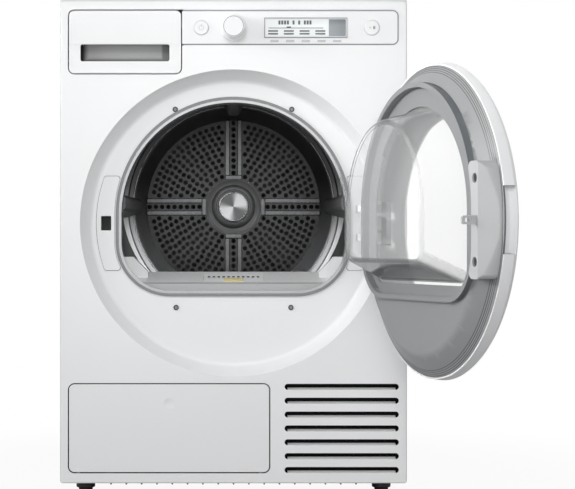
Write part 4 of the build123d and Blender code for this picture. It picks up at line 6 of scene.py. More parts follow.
import bpy
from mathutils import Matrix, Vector

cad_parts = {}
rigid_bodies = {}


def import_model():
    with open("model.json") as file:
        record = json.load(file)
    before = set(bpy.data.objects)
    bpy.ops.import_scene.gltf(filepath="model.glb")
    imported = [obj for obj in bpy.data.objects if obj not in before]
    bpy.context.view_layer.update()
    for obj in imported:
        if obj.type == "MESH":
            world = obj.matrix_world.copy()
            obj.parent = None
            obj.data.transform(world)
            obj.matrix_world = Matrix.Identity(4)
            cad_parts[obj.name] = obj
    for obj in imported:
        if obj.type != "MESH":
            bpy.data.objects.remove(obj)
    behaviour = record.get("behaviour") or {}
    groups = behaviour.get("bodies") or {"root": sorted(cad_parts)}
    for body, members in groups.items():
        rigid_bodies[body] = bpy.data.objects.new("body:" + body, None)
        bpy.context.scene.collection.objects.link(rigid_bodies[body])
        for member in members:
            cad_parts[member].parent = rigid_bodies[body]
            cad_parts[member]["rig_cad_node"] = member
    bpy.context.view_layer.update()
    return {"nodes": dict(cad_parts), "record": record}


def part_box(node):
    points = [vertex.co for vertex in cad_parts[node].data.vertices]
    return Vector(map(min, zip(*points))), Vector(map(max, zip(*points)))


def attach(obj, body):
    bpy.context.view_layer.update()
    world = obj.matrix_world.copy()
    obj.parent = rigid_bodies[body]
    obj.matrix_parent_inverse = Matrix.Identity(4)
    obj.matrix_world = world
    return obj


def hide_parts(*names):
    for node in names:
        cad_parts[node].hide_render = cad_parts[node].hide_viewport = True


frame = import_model()

bl_info = {
    "name": "Clothes dryer",
    "version": (1, 0, 0),
    "blender": (4, 5, 0),
    "location": "View3D > Sidebar > Dryer",
    "description": "Builds the looks of a front-loading clothes dryer around its CAD frame",
    "category": "Object",
}

NODES = frame["nodes"]
BODY_OF = {
    node: body
    for body, nodes in frame["record"]["behaviour"]["bodies"].items()
    for node in nodes
}
SLOT_OF = {row["node"]: row["material_slot"] for row in frame["record"]["subparts"]}

FULL_TURN = 2 * math.pi
QUARTER_TURN = math.pi / 2
FACING_FRONT = (QUARTER_TURN, 0, 0)
DOOR_SWING = math.radians(109.7)
DOOR_INWARD = Vector((-math.sin(DOOR_SWING), math.cos(DOOR_SWING), 0))

# Distances under which points count as one
CAD_MERGE = 0.000005
MERGE = 0.00001

# Printed signs stand this far proud of what carries them, and reach this far into it
SIGN_PROUD = 0.0002
SIGN_DEPTH = 0.0004


def colour(name, description, default):
    """A colour a user can change."""
    return bpy.props.FloatVectorProperty(
        name=name, description=description, subtype="COLOR",
        size=4, min=0, max=1, default=(*default, 1.0),
    )


def length(name, description, default):
    """A size in metres a user can change."""
    return bpy.props.FloatProperty(
        name=name, description=description, subtype="DISTANCE", unit="LENGTH",
        min=0, default=default,
    )


class DryerColours(bpy.types.PropertyGroup):
    """Colours of the dryer's finishes."""

    enamel: colour("Enamel", "White enamel of the cabinet", (0.86, 0.865, 0.87))
    plastic: colour("White plastic", "Fascia, door ring, drawer and flap", (0.84, 0.845, 0.85))
    grey: colour("Grey plastic", "Door lining, seal, lifters and levers", (0.23, 0.234, 0.238))
    ledge: colour("Filter ledge", "Lip of the ledge, latch and hook", (0.45, 0.455, 0.46))
    # Painted light: the ledge's top is made paler than its lip
    ledge_top: colour("Ledge top", "Top of the ledge and the lint filter", (0.8, 0.805, 0.81))
    # Dark plastic also serves as painted shade in grooves, gaps, backings and recesses
    dark: colour("Dark plastic", "Tray, feet, screws and recesses", (0.022, 0.0225, 0.024))
    steel: colour("Drum steel", "Sheet steel of the drum", (0.66, 0.664, 0.67))
    # Kept dark as painted shade for the dim inside of the closed drum
    wall: colour("Drum wall", "Perforated sheet at the drum's back", (0.036, 0.0365, 0.037))
    spoke: colour("Spoke steel", "Spokes on the drum's back wall", (0.085, 0.086, 0.088))
    lip: colour("Lip steel", "Lip of the drum's opening", (0.2, 0.204, 0.208))
    hub: colour("Hub", "Smoked ring round the drum's hub", (0.5, 0.504, 0.51))
    cap: colour("Hub cap", "Turned face of the hub's cap", (0.11, 0.112, 0.114))
    pocket: colour("Handle pocket", "Inside of the drawer's handle", (0.5, 0.503, 0.508))
    bright: colour("Bright trim", "Polished steel in the drum", (0.8, 0.81, 0.82))
    # Rubber black also colours the sheet of painted shade behind the grille
    rubber: colour("Rubber", "Drive belt, rollers and grille cloth", (0.012, 0.012, 0.0125))
    yellow: colour("Yellow plastic", "Tab of the lint filter", (0.86, 0.72, 0.24))
    screen: colour("Screen", "Unlit display", (0.83, 0.86, 0.86))
    screen_block: colour("Screen block", "Darker end of the display", (0.1, 0.125, 0.14))
    zinc: colour("Zinc", "Plated steel at the back and inside", (0.55, 0.56, 0.57))
    aluminium: colour("Aluminium", "Coil fins and rotor", (0.66, 0.67, 0.68))
    iron: colour("Black iron", "Compressor, motor and bearing", (0.025, 0.025, 0.027))
    # Print grey is also painted shade: lines in the gaps round the fascia and the plates, and the
    # lining's outward walls
    print_grey: colour("Printed marks", "Signs printed on the fascia", (0.12, 0.13, 0.14))
    faint: colour("Faint marks", "Signs barely darker than the fascia", (0.55, 0.56, 0.57))
    clear: colour("Clear plastic", "Bowl and window of the door", (0.84, 0.85, 0.855))
    clear_edge: colour("Clear edge", "Clear plastic seen edge on", (0.12, 0.125, 0.13))


class DryerSizes(bpy.types.PropertyGroup):
    """Sizes of the fine detail."""

    edge: length("Edge radius", "Rounding of moulded edges", 0.0006)
    fine_edge: length("Fine edge radius", "Rounding of small mouldings", 0.0004)
    fitting_edge: length("Fitting edge radius", "Rounding of plates and screws", 0.0003)
    lifter_edge: length("Lifter edge radius", "Rounding of the drum's lifters", 0.002)
    sheet_edge: length("Sheet edge radius", "Rounding of folded sheet edges", 0.0009)
    fascia_corner: length("Fascia corner", "Radius of the fascia's corners", 0.0095)
    fascia_flange: length("Fascia flange", "Hidden flange round the fascia", 0.004)
    rib_inner: length("Rib start", "Where the door lining's ribs start", 0.2355)
    rib_outer: length("Rib end", "Where the door lining's ribs end", 0.2475)
    rib_pitch: length("Rib pitch", "Distance between the door lining's ribs", 0.003)
    screen_frame: length("Screen frame", "Width of the display's frame", 0.0009)
    hole: length("Hole diameter", "Air holes in the drum's back wall", 0.0094)
    hole_pitch: length("Hole pitch", "Distance between neighbouring air holes", 0.0124)
    spoke: length("Spoke width", "Width of a spoke on the drum's back wall", 0.034)
    rail: length("Rail width", "Raised edge on each side of a spoke", 0.0095)
    rail_height: length("Rail height", "How far a spoke's edges stand proud", 0.0036)


def colours():
    """The colours in use."""
    return bpy.context.scene.dryer_colours


def sizes():
    """The sizes in use."""
    return bpy.context.scene.dryer_sizes


class Amount:
    """A number that varies over a surface; sums with it add Math nodes."""

    def __init__(self, owner, socket):
        self.owner = owner
        self.socket = socket

    def math(self, operation, *values):
        inputs = dict(enumerate(values))
        node = self.owner.node("ShaderNodeMath", {"operation": operation}, inputs)
        return Amount(self.owner, node.outputs[0])

    def __add__(self, other):
        return self.math("ADD", self, other)

    def __sub__(self, other):
        return self.math("SUBTRACT", self, other)

    def __rsub__(self, other):
        return self.math("SUBTRACT", other, self)

    def __mul__(self, other):
        return self.math("MULTIPLY", self, other)

    def __truediv__(self, other):
        return self.math("DIVIDE", self, other)

    def __rtruediv__(self, other):
        return self.math("DIVIDE", other, self)

    def __pow__(self, other):
        return self.math("POWER", self, other)

    def __gt__(self, other):
        return self.math("GREATER_THAN", self, other)

    def __lt__(self, other):
        return self.math("LESS_THAN", self, other)

    def __abs__(self):
        return self.math("ABSOLUTE", self)

    __radd__ = __add__
    __rmul__ = __mul__

    def sine(self):
        return self.math("SINE", self)

    def root(self):
        return self.math("SQRT", self)

    def above(self, floor):
        """The larger of two values."""
        return self.math("MAXIMUM", self, floor)

    def below(self, ceiling):
        """The smaller of two values."""
        return self.math("MINIMUM", self, ceiling)

    def between(self, low, high):
        """1 between two values and 0 outside them."""
        return (self > low) * (self < high)

    def ramp(self, low, high):
        """0 at one value rising smoothly to 1 at the other."""
        node = self.owner.node(
            "ShaderNodeMapRange",
            {"interpolation_type": "SMOOTHSTEP"},
            {"Value": self, "From Min": low, "From Max": high},
        )
        return Amount(self.owner, node.outputs[0])


class Shading:
    """A tree of shader nodes, each added by one method."""

    def __init__(self, tree):
        self.tree = tree
        tree.nodes.clear()

    def node(self, kind, settings=None, inputs=None):
        node = self.tree.nodes.new(kind)
        for key, value in (settings or {}).items():
            setattr(node, key, value)
        for key, value in (inputs or {}).items():
            self.plug(node.inputs[key], value)
        return node

    def plug(self, socket, value):
        if isinstance(value, Amount):
            value = value.socket
        if isinstance(value, bpy.types.NodeSocket):
            self.tree.links.new(value, socket)
        else:
            socket.default_value = value


class Finish(Shading):
    """One material, built from procedural nodes."""

    def __init__(self, name):
        self.material = bpy.data.materials.new(name)
        self.material.use_nodes = True
        super().__init__(self.material.node_tree)
        self.shader = self.node("ShaderNodeBsdfPrincipled")
        surface = {"Surface": self.shader.outputs[0]}
        self.output = self.node("ShaderNodeOutputMaterial", None, surface)
        self.place = self.node("ShaderNodeTexCoord").outputs["Object"]

    def set(self, **inputs):
        for key, value in inputs.items():
            self.plug(self.shader.inputs[key.replace("_", " ")], value)

    def axes(self):
        """Places across, along and up."""
        parts = self.node("ShaderNodeSeparateXYZ", None, {0: self.place}).outputs
        return [Amount(self, part) for part in parts]

    def noise(self, scale, detail=2.0, stretch=None):
        place = self.place
        if stretch:
            inputs = {0: place, 1: stretch}
            place = self.node("ShaderNodeVectorMath", {"operation": "MULTIPLY"}, inputs).outputs[0]
        inputs = {"Vector": place, "Scale": scale, "Detail": detail}
        return Amount(self, self.node("ShaderNodeTexNoise", None, inputs).outputs[0])

    def facing(self, blend):
        node = self.node("ShaderNodeLayerWeight", None, {"Blend": blend})
        return Amount(self, node.outputs["Facing"])

    def mix(self, share, first, second):
        inputs = {0: share, 6: first, 7: second}
        return self.node("ShaderNodeMix", {"data_type": "RGBA"}, inputs).outputs[2]

    def clouded(self, base, noise, contrast):
        """A colour in soft clouds, some darker and some lighter than its base."""
        dark = tuple(part * 0.5 for part in base[:3]) + (1.0,)
        light = tuple(part * 1.5 for part in base[:3]) + (1.0,)
        return self.mix(around(noise, 0.5, contrast), dark, light)

    def bump(self, height, distance, strength=1.0):
        inputs = {"Height": height, "Distance": distance, "Strength": strength}
        self.set(Normal=self.node("ShaderNodeBump", None, inputs).outputs[0])


def around(noise, middle, reach):
    """A value that wanders about a middle."""
    return noise * reach + (middle - reach / 2)


def moulded(finish, base, roughness, grain=0.00002, grain_scale=900.0, drift=0.06):
    """Plastic or paint: a fine grain, and a colour that drifts a little, which is given back."""
    drifting = finish.clouded(base, finish.noise(2.5), drift)
    finish.set(Base_Color=drifting, Roughness=around(finish.noise(30.0), roughness, 0.06))
    finish.bump(finish.noise(grain_scale, 1.0), grain)
    return drifting


def metal(finish, colour_used, roughness, metallic=1.0):
    """Bare metal of a colour, with a shine that varies."""
    finish.set(Base_Color=colour_used, Roughness=roughness, Metallic=metallic)


def off_axis(finish):
    """Distances sideways and up from the drum's axis."""
    low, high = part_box("drum_shell")
    across, _, up = finish.axes()
    return across, up - (low.z + high.z) / 2


def enamel(finish):
    """White enamel, with painted shade along the cabinet's front edges, where they round off."""
    base = moulded(finish, colours().enamel, 0.38, 0.00003, 420.0, 0.02)
    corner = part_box("worktop")[1]
    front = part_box("front_panel")[0].y
    side_band, top_band, front_band = (0.0022, 0.0004), (0.003, 0.0005), (0.002, 0.005)
    across, along, up = finish.axes()
    side = abs(across).ramp(*[corner.x - inset for inset in side_band])
    top = up.ramp(*[corner.z - inset for inset in top_band])
    near = 1.0 - along.ramp(*[front + inset for inset in front_band])
    # Painted shade: the edge bands are mixed towards the ledge grey
    finish.set(Base_Color=finish.mix(side.above(top) * near * 0.6, base, colours().ledge))


def plastic(finish):
    return moulded(finish, colours().plastic, 0.42, drift=0.02)


def lined(finish):
    """White moulding of the fascia, with painted shade: a thin dark line along its rim, where the
    gap round it falls in shade, open towards the drawer.
    """
    base = plastic(finish)
    flange, corner = sizes().fascia_flange, sizes().fascia_corner
    under_drawer, line_band = 0.02, (-0.0011, 0.001)
    low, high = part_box("control_fascia")
    low, high = low + Vector((-under_drawer, 0, flange)), high - Vector((flange, 0, flange))
    middle, half = (low + high) / 2, (high - low) / 2
    across, _, up = finish.axes()
    beyond = abs(across - middle.x) - (half.x - corner)
    above = abs(up - middle.z) - (half.z - corner)
    outside = (beyond.above(0.0) ** 2.0 + above.above(0.0) ** 2.0).root()
    inset = outside + beyond.above(above).below(0.0) - corner
    # Painted shade of the gap round the fascia
    line = inset.between(*line_band)
    finish.set(Base_Color=finish.mix(line * 0.85, base, colours().print_grey))


def ribbed(finish):
    """Grey moulding of the door's lining, with shade in the grooves between its ribs."""
    base = moulded(finish, colours().grey, 0.45)
    inner, outer, pitch = sizes().rib_inner, sizes().rib_outer, sizes().rib_pitch
    low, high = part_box("door_inner_trim")
    middle = (low + high) / 2
    across, along, up = finish.axes()
    squares = (across - middle.x) ** 2.0 + (along - middle.y) ** 2.0 + (up - middle.z) ** 2.0
    out = squares.root()
    waves = ((out - outer) * (FULL_TURN / pitch)).sine()
    grooves = waves.ramp(0.1, 0.9) * out.between(inner, outer)
    finish.set(Base_Color=finish.mix(grooves * 0.8, base, colours().dark))


# Matte black of the sheet of painted shade behind the grille
def cloth(finish):
    moulded(finish, colours().rubber, 0.9)
    finish.set(Specular_IOR_Level=0.05)


def hub(finish):
    """Smoked collar of the hub, darker next to the cap."""
    base = moulded(finish, colours().hub, 0.2)
    cap_edge = (0.0425, 0.0445)
    across, up = off_axis(finish)
    inside = 1.0 - (across * across + up * up).root().ramp(*cap_edge)
    shaded = finish.mix(inside * 0.9, base, colours().dark)
    finish.set(Base_Color=shaded, Metallic=0.25)


def pocket(finish):
    """Grey inside of the drawer's handle, in shade at its ends and along its foot."""
    base = moulded(finish, colours().pocket, 0.8)
    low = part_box("drawer_front")[0]
    left_end, right_end, foot_rise = (-0.262, -0.248), (-0.126, -0.121), (0.021, 0.031)
    across, _, up = finish.axes()
    left = 1.0 - across.ramp(*left_end)
    right = across.ramp(*right_end) * 0.55
    foot = 1.0 - (up - low.z).ramp(*foot_rise)
    share = left.above(right).above(foot * 0.8)
    finish.set(Base_Color=finish.mix(share, base, colours().dark), Specular_IOR_Level=0.1)


def clear(finish, veil=0.13, thicken=(0.66, 0.92), darken=(0.74, 0.9), least=0.0):
    """Clear moulding: a thin veil face on, and a dark shade where it is seen edge on."""
    slant = finish.facing(0.5)
    pale = finish.clouded(colours().clear, finish.noise(3.0), 0.06)
    dark_share = slant.ramp(*darken) * (1.0 - least) + least
    finish.set(
        Base_Color=finish.mix(dark_share, pale, colours().clear_edge),
        Roughness=0.05,
        Alpha=slant.ramp(*thicken) * 0.5 + veil,
        IOR=1.49,
    )


def rim(finish):
    """Rounded edge of the clear bowl, which gathers more shade than its flat walls."""
    clear(finish, 0.3, (0.2, 0.9), (0.1, 0.7), 0.3)


def wall_steel(finish):
    """Smooth sheet steel of the drum's perforated wall; its dark colour is painted shade for the
    dim inside of the closed drum.
    """
    clouds = finish.clouded(colours().wall, finish.noise(4.0), 0.3)
    metal(finish, clouds, around(finish.noise(60.0), 0.33, 0.1))
    finish.bump(finish.noise(160.0), 0.00005)


def spoke_steel(finish):
    """Brushed steel of the spokes on the drum's back wall."""
    clouds = finish.clouded(colours().spoke, finish.noise(90.0), 0.3)
    metal(finish, clouds, around(finish.noise(60.0), 0.31, 0.1))


def polished(finish, base, roughness):
    """Polished steel of a colour."""
    clouds = finish.clouded(base, finish.noise(6.0), 0.1)
    metal(finish, clouds, around(finish.noise(50.0), roughness, 0.06))


def sheet_steel(finish):
    """Rolled sheet steel of the drum."""
    clouds = finish.clouded(colours().steel, finish.noise(5.0), 0.24)
    metal(finish, clouds, around(finish.noise(40.0, 3.0, (1.0, 12.0, 1.0)), 0.37, 0.14))
    finish.bump(finish.noise(260.0), 0.00003)


def graded_steel(finish):
    """Sheet steel of the rings round the drum's back wall, with painted light: paler below than
    above.
    """
    band = (-0.14, 0.07)
    _, up = off_axis(finish)
    graded = finish.mix(up.ramp(*band), colours().bright, colours().spoke)
    metal(finish, graded, around(finish.noise(40.0), 0.37, 0.14))


def zinc(finish):
    clouds = finish.clouded(colours().zinc, finish.noise(45.0, 4.0), 0.3)
    metal(finish, clouds, around(finish.noise(25.0), 0.455, 0.15), 0.9)
    finish.bump(finish.noise(500.0), 0.00002)


def aluminium(finish):
    clouds = finish.clouded(colours().aluminium, finish.noise(80.0, 2.0, (1.0, 0.1, 1.0)), 0.3)
    metal(finish, clouds, around(finish.noise(50.0), 0.4, 0.1))


def bow_tie(finish):
    """Face of the hub's cap: fine rings, and as a painted highlight the bright and dark wedges that
    a turned disc reflects.
    """
    hollow, ring_turns = 0.0005, 5200.0
    across, up = off_axis(finish)
    radius = (across * across + up * up).root() + hollow
    sideways = across / radius
    wedge = (sideways * (up / radius) * 2.0 + sideways ** 2.0 * 0.5).ramp(-0.9, 0.9)
    face = finish.mix(wedge ** 2.0 * 0.6, colours().cap, colours().bright)
    metal(finish, face, around(finish.noise(60.0), 0.34, 0.08), 0.9)
    finish.bump((radius * ring_turns).sine(), 0.00006, 0.5)


def dotted(finish):
    """Grey ledge, paler on top as painted light, with a field of fine air holes painted as dark
    dots of shade on each side of the filter.
    """
    base = moulded(finish, colours().ledge, 0.45)
    beside_filter, dotted_depth, lip_depth = (0.053, 0.153), (-0.243, -0.193), (-0.256, -0.244)
    dot_turns = 1500.0
    across, along, _ = finish.axes()
    waves = (across * dot_turns).sine() * (along * dot_turns).sine()
    field = abs(across).between(*beside_filter) * along.between(*dotted_depth)
    dots = field * (waves > 0.2)
    top = finish.mix(along.ramp(*lip_depth), base, colours().ledge_top)
    finish.set(Base_Color=finish.mix(dots * 0.3, top, colours().dark))


def screen(finish):
    """Pale display with a darker block at its right end."""
    low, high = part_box("display_window")
    pale_share, blur = 0.775, 0.0006
    across, _, _ = finish.axes()
    start = low.x + (high.x - low.x) * pale_share
    block_colour, pale_colour = colours().screen_block, colours().screen
    softened = [0.8 * dark + 0.2 * pale for dark, pale in zip(block_colour, pale_colour)]
    block_end = finish.mix(across.ramp(start, high.x) * 0.5, softened, block_colour)
    pale = finish.clouded(pale_colour, finish.noise(4.0), 0.03)
    finish.set(
        Base_Color=finish.mix(across.ramp(start, start + blur), pale, block_end),
        Roughness=around(finish.noise(20.0), 0.145, 0.05),
    )


FINISHES = {
    "white_enamel": enamel,
    "white_plastic": plastic,
    "lined_plastic": lined,
    "grey_plastic": lambda finish: moulded(finish, colours().grey, 0.45),
    "ribbed_grey": ribbed,
    "light_grey": lambda finish: moulded(finish, colours().ledge, 0.42),
    "ledge_grey": dotted,
    "pocket_grey": pocket,
    "dark_plastic": lambda finish: moulded(finish, colours().dark, 0.5),
    "yellow_plastic": lambda finish: moulded(finish, colours().yellow, 0.4),
    "black_rubber": lambda finish: moulded(finish, colours().rubber, 0.6),
    "black_cloth": cloth,
    "black_iron": lambda finish: moulded(finish, colours().iron, 0.45, 0.00004, 300.0),
    "printed": lambda finish: moulded(finish, colours().print_grey, 0.6),
    "faint_print": lambda finish: moulded(finish, colours().faint, 0.5),
    "clear_plastic": clear,
    "clear_pane": lambda finish: clear(finish, veil=0.012),
    "clear_rim": rim,
    "display_glass": screen,
    "drum_steel": sheet_steel,
    "wall_steel": wall_steel,
    "graded_steel": graded_steel,
    "spoke_steel": spoke_steel,
    "lip_steel": lambda finish: polished(finish, colours().lip, 0.23),
    "bright_trim": lambda finish: polished(finish, colours().bright, 0.17),
    "hub_smoke": hub,
    "hub_cap": bow_tie,
    "zinc_steel": zinc,
    "coil_aluminium": aluminium,
}


def material(name):
    """The dryer's material of that name, made when first asked for."""
    own = "dryer_" + name
    if own not in bpy.data.materials:
        FINISHES[name](Finish(own))
    return bpy.data.materials[own]


def leave_edit_mode():
    if bpy.context.object and bpy.context.object.mode != "OBJECT":
        bpy.ops.object.mode_set(mode="OBJECT")


def clear_selection():
    leave_edit_mode()
    bpy.ops.object.select_all(action="DESELECT")


def only(piece):
    """Selects one piece and nothing else."""
    clear_selection()
    piece.select_set(True)
    bpy.context.view_layer.objects.active = piece


def named(name):
    """The piece just added, under its own name."""
    piece = bpy.context.active_object
    piece.name = name
    piece.data.name = name
    return piece


def edit(piece):
    """Opens a piece for editing, all of it selected."""
    only(piece)
    bpy.ops.object.mode_set(mode="EDIT")
    bpy.ops.mesh.select_all(action="SELECT")


def tidy(piece):
    """Merges double points and turns all faces outward."""
    edit(piece)
    bpy.ops.mesh.remove_doubles(threshold=MERGE)
    bpy.ops.mesh.normals_make_consistent(inside=False)
    leave_edit_mode()


def modify(piece, kind, **settings):
    """Adds a modifier to a piece and applies it."""
    only(piece)
    modifier = piece.modifiers.new(kind.lower(), kind)
    for key, value in settings.items():
        setattr(modifier, key, value)
    bpy.ops.object.modifier_apply(modifier=modifier.name)


def smooth(piece, angle):
    """Smooth shading that keeps broad faces flat and sharp edges sharp."""
    only(piece)
    bpy.ops.object.shade_smooth_by_angle(angle=math.radians(angle))
    modify(piece, "WEIGHTED_NORMAL", mode="FACE_AREA", weight=100, keep_sharp=True)


def dress(piece, body, finish, stands_for=(), angle=32):
    """Gives a piece its shading, material and body, and hides the CAD pieces it stands for."""
    only(piece)
    bpy.ops.object.transform_apply(location=True, rotation=True, scale=True)
    smooth(piece, angle)
    piece.data.materials.clear()
    piece.data.materials.append(material(finish))
    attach(piece, body)
    if stands_for:
        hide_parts(*stands_for)
    return piece


def copy_to_edit(piece, name):
    """A copy of a piece with its own mesh, open for editing."""
    only(piece)
    bpy.ops.object.duplicate()
    copy = named(name)
    edit(copy)
    return copy


def cad_copy(node, name):
    """A copy of a CAD piece, off its body and with its points merged, open for editing."""
    copy = copy_to_edit(NODES[node], name)
    leave_edit_mode()
    bpy.ops.object.parent_clear(type="CLEAR_KEEP_TRANSFORM")
    del copy["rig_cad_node"]
    edit(copy)
    bpy.ops.mesh.remove_doubles(threshold=CAD_MERGE)
    return copy


def moved_copy(piece, name, shift):
    """A copy of a piece, moved."""
    copy = copy_to_edit(piece, name)
    bpy.ops.transform.translate(value=shift)
    leave_edit_mode()
    return copy


def turned_copy(piece, name, axis, angle):
    """A copy of a piece, turned round an axis along Y."""
    copy = copy_to_edit(piece, name)
    bpy.ops.transform.rotate(value=angle, orient_axis="Y", center_override=axis)
    leave_edit_mode()
    return copy


def refine(node, finish=None, edge=0.0, angle=32):
    """A piece in place of a CAD piece, with rounded edges and smooth shading."""
    piece = cad_copy(node, node + "_skin")
    bpy.ops.mesh.dissolve_limited(angle_limit=math.radians(0.2))
    bpy.ops.mesh.normals_make_consistent(inside=False)
    leave_edit_mode()
    if edge:
        modify(
            piece, "BEVEL", width=edge, segments=2, limit_method="ANGLE",
            angle_limit=math.radians(40), harden_normals=False, use_clamp_overlap=True,
        )
    slot = SLOT_OF[node]
    return dress(piece, BODY_OF[node], finish or slot, (node,), angle)


def gap_line(node, grow, front, depth=0.0006):
    """A thin dark line of painted shade round a plate: the plate a little larger, thinned and set
    back.
    """
    low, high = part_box(node)
    piece = cad_copy(node, node + "_gap_line")
    size = high - low
    scale = (1 + 2 * grow / size.x, depth / size.y, 1 + 2 * grow / size.z)
    bpy.ops.transform.resize(value=scale, center_override=(low + high) / 2)
    bpy.ops.transform.translate(value=(0, front + depth / 2 - (low.y + high.y) / 2, 0))
    leave_edit_mode()
    return dress(piece, BODY_OF[node], "printed")


def coat(*nodes, finish=None):
    """Gives CAD pieces that stay as they are their material."""
    for node in nodes:
        NODES[node].data.materials.clear()
        NODES[node].data.materials.append(material(finish or SLOT_OF[node]))


def repaint(piece, finish, chosen):
    """Gives the faces of a piece that a test picks a second material."""
    piece.data.materials.append(material(finish))
    for face in piece.data.polygons:
        face.material_index = int(chosen(face))


def block(name, low, high, edge=0.0):
    """A box between two corners, with its edges rounded."""
    clear_selection()
    low, high = Vector(low), Vector(high)
    bpy.ops.mesh.primitive_cube_add(size=1.0, location=(low + high) / 2, scale=high - low)
    piece = named(name)
    bpy.ops.object.transform_apply(location=True, rotation=True, scale=True)
    if edge:
        edit(piece)
        bpy.ops.mesh.bevel(offset=edge, segments=2, affect="EDGES")
        leave_edit_mode()
    return piece


def turned(name, axis, profile, steps=96):
    """A piece spun round an axis along Y from points of radius and depth."""
    clear_selection()
    bpy.ops.mesh.primitive_plane_add(size=0.001)
    piece = named(name)
    edit(piece)
    bpy.ops.mesh.merge(type="CENTER")
    radius, depth = profile[0]
    bpy.ops.transform.translate(value=(axis.x + radius, axis.y + depth, axis.z))
    for radius_next, depth_next in profile[1:]:
        step = (radius_next - radius, depth_next - depth, 0)
        bpy.ops.mesh.extrude_region_move(TRANSFORM_OT_translate={"value": step})
        radius, depth = radius_next, depth_next
    bpy.ops.mesh.select_all(action="SELECT")
    bpy.ops.mesh.spin(steps=steps, angle=FULL_TURN, center=axis, axis=(0, 1, 0))
    tidy(piece)
    return piece


def ring(name, axis, outer, inner, front, back, edge=0.0, steps=96):
    """A flat ring with a rounded front edge on each side."""
    profile = [
        (inner, back), (outer, back), (outer, front + edge), (outer - edge, front),
        (inner + edge, front), (inner, front + edge), (inner, back),
    ]
    return turned(name, axis, profile, steps)


def joined(name, pieces):
    """Several pieces made into one."""
    only(pieces[0])
    for piece in pieces[1:]:
        piece.select_set(True)
    bpy.ops.object.join()
    return named(name)


def front_middle(node):
    """Middle of a piece's front face."""
    low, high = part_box(node)
    return Vector(((low.x + high.x) / 2, low.y, (low.z + high.z) / 2))


class DryerStep:
    """What every building step shares."""

    bl_options = {"REGISTER", "UNDO"}


class DRYER_OT_cabinet(DryerStep, bpy.types.Operator):
    """Side panels, worktop, front panel, tray and feet."""

    bl_idname = "dryer.cabinet"
    bl_label = "Cabinet"

    # Dark sheet of painted shade behind the grille: its depth and thickness, and its edges from
    # flap and front panel
    cloth_depth = 0.014
    cloth_thickness = 0.0006
    cloth_left, cloth_right = 0.02, 0.012
    cloth_below, cloth_above = 0.006, 0.008

    def execute(self, context):
        for node in ("right_side_panel", "left_side_panel", "worktop", "front_panel"):
            refine(node, edge=sizes().sheet_edge)
        for node in ("base_tray", "feet"):
            refine(node, edge=sizes().edge)
        self.grille_liner()
        return {"FINISHED"}

    def grille_liner(self):
        """Dark sheet of painted shade behind the air slots, which are as high as the flap beside
        them.
        """
        low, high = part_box("front_panel")
        flap_low, flap_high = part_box("flap")
        front = low.y + self.cloth_depth
        liner = block(
            "grille_liner",
            (flap_high.x + self.cloth_left, front, flap_low.z - self.cloth_below),
            (
                high.x - self.cloth_right,
                front + self.cloth_thickness,
                flap_high.z + self.cloth_above,
            ),
        )
        dress(liner, "cabinet", "black_cloth")


class DRYER_OT_recess_fittings(DryerStep, bpy.types.Operator):
    """Lock plate, hinge plate, hinge bracket and screws in the door's recess, with painted shade
    round the plates and the screw heads.
    """

    bl_idname = "dryer.recess_fittings"
    bl_label = "Recess fittings"

    screw_places = ((-0.101, 0.665), (0.101, 0.665), (-0.0995, 0.3215), (0.0995, 0.3215))
    # Painted shade round each plate: how far it reaches out, and how far behind the plate's front
    # it stands
    gap = 0.0007
    gap_set_back = 0.0004

    def execute(self, context):
        for node in ("lock_plate", "hinge_plate"):
            gap_line(node, self.gap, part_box(node)[0].y + self.gap_set_back)
        for node in ("lock_plate", "hinge_plate", "hinge_bracket"):
            refine(node, edge=sizes().fitting_edge)
        refine("recess_screws", "grey_plastic", edge=sizes().fitting_edge)
        self.screw_washers()
        return {"FINISHED"}

    def screw_washers(self):
        """Dark ring of painted shade round the head of each recess screw."""
        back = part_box("recess_screws")[1].y
        places = [Vector((x, back, z)) for x, z in self.screw_places]
        first = ring(
            "screw_ring", places[0], outer=0.0046, inner=0.0028,
            front=-0.0019, back=-0.0004, edge=sizes().fitting_edge, steps=32,
        )
        others = [moved_copy(first, "screw_ring", place - places[0]) for place in places[1:]]
        washers = joined("screw_washers", [first, *others])
        dress(washers, "cabinet", "dark_plastic")


class DRYER_OT_door(DryerStep, bpy.types.Operator):
    """Ring, lining, bowl, window and latch of the door."""

    bl_idname = "dryer.door"
    bl_label = "Door"

    # How squarely the lining's shaded walls face outward, and the bowl's rounded edge inward
    outward_wall = 0.85
    rounded_edge = (0.35, 0.96)

    def execute(self, context):
        refine("door_outer_ring", edge=sizes().fine_edge)
        for node in ("latch_cover", "latch_hook"):
            refine(node, "light_grey", edge=sizes().fine_edge)
        refine("grip_insert", "white_plastic", edge=sizes().fine_edge)
        self.lining()
        refine("door_window", "clear_pane")
        self.bowl()
        refine("latch_screws", "dark_plastic")
        for node in ("hinge_carrier", "hinge_pin"):
            refine(node)
        return {"FINISHED"}

    def lining(self):
        """Grey lining, with the walls that face away from its middle in shade."""
        low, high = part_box("door_inner_trim")
        middle = (low + high) / 2

        def faces_away(face):
            away = face.center - middle
            away -= DOOR_INWARD * away.dot(DOOR_INWARD)
            return face.normal.dot(away.normalized()) > self.outward_wall

        repaint(refine("door_inner_trim", "ribbed_grey", angle=20), "printed", faces_away)

    def bowl(self):
        """Clear bowl, with the rounded edge between its wall and its end shaded."""
        least, most = self.rounded_edge
        repaint(
            refine("door_bowl"), "clear_rim",
            lambda face: least < abs(face.normal.dot(DOOR_INWARD)) < most,
        )


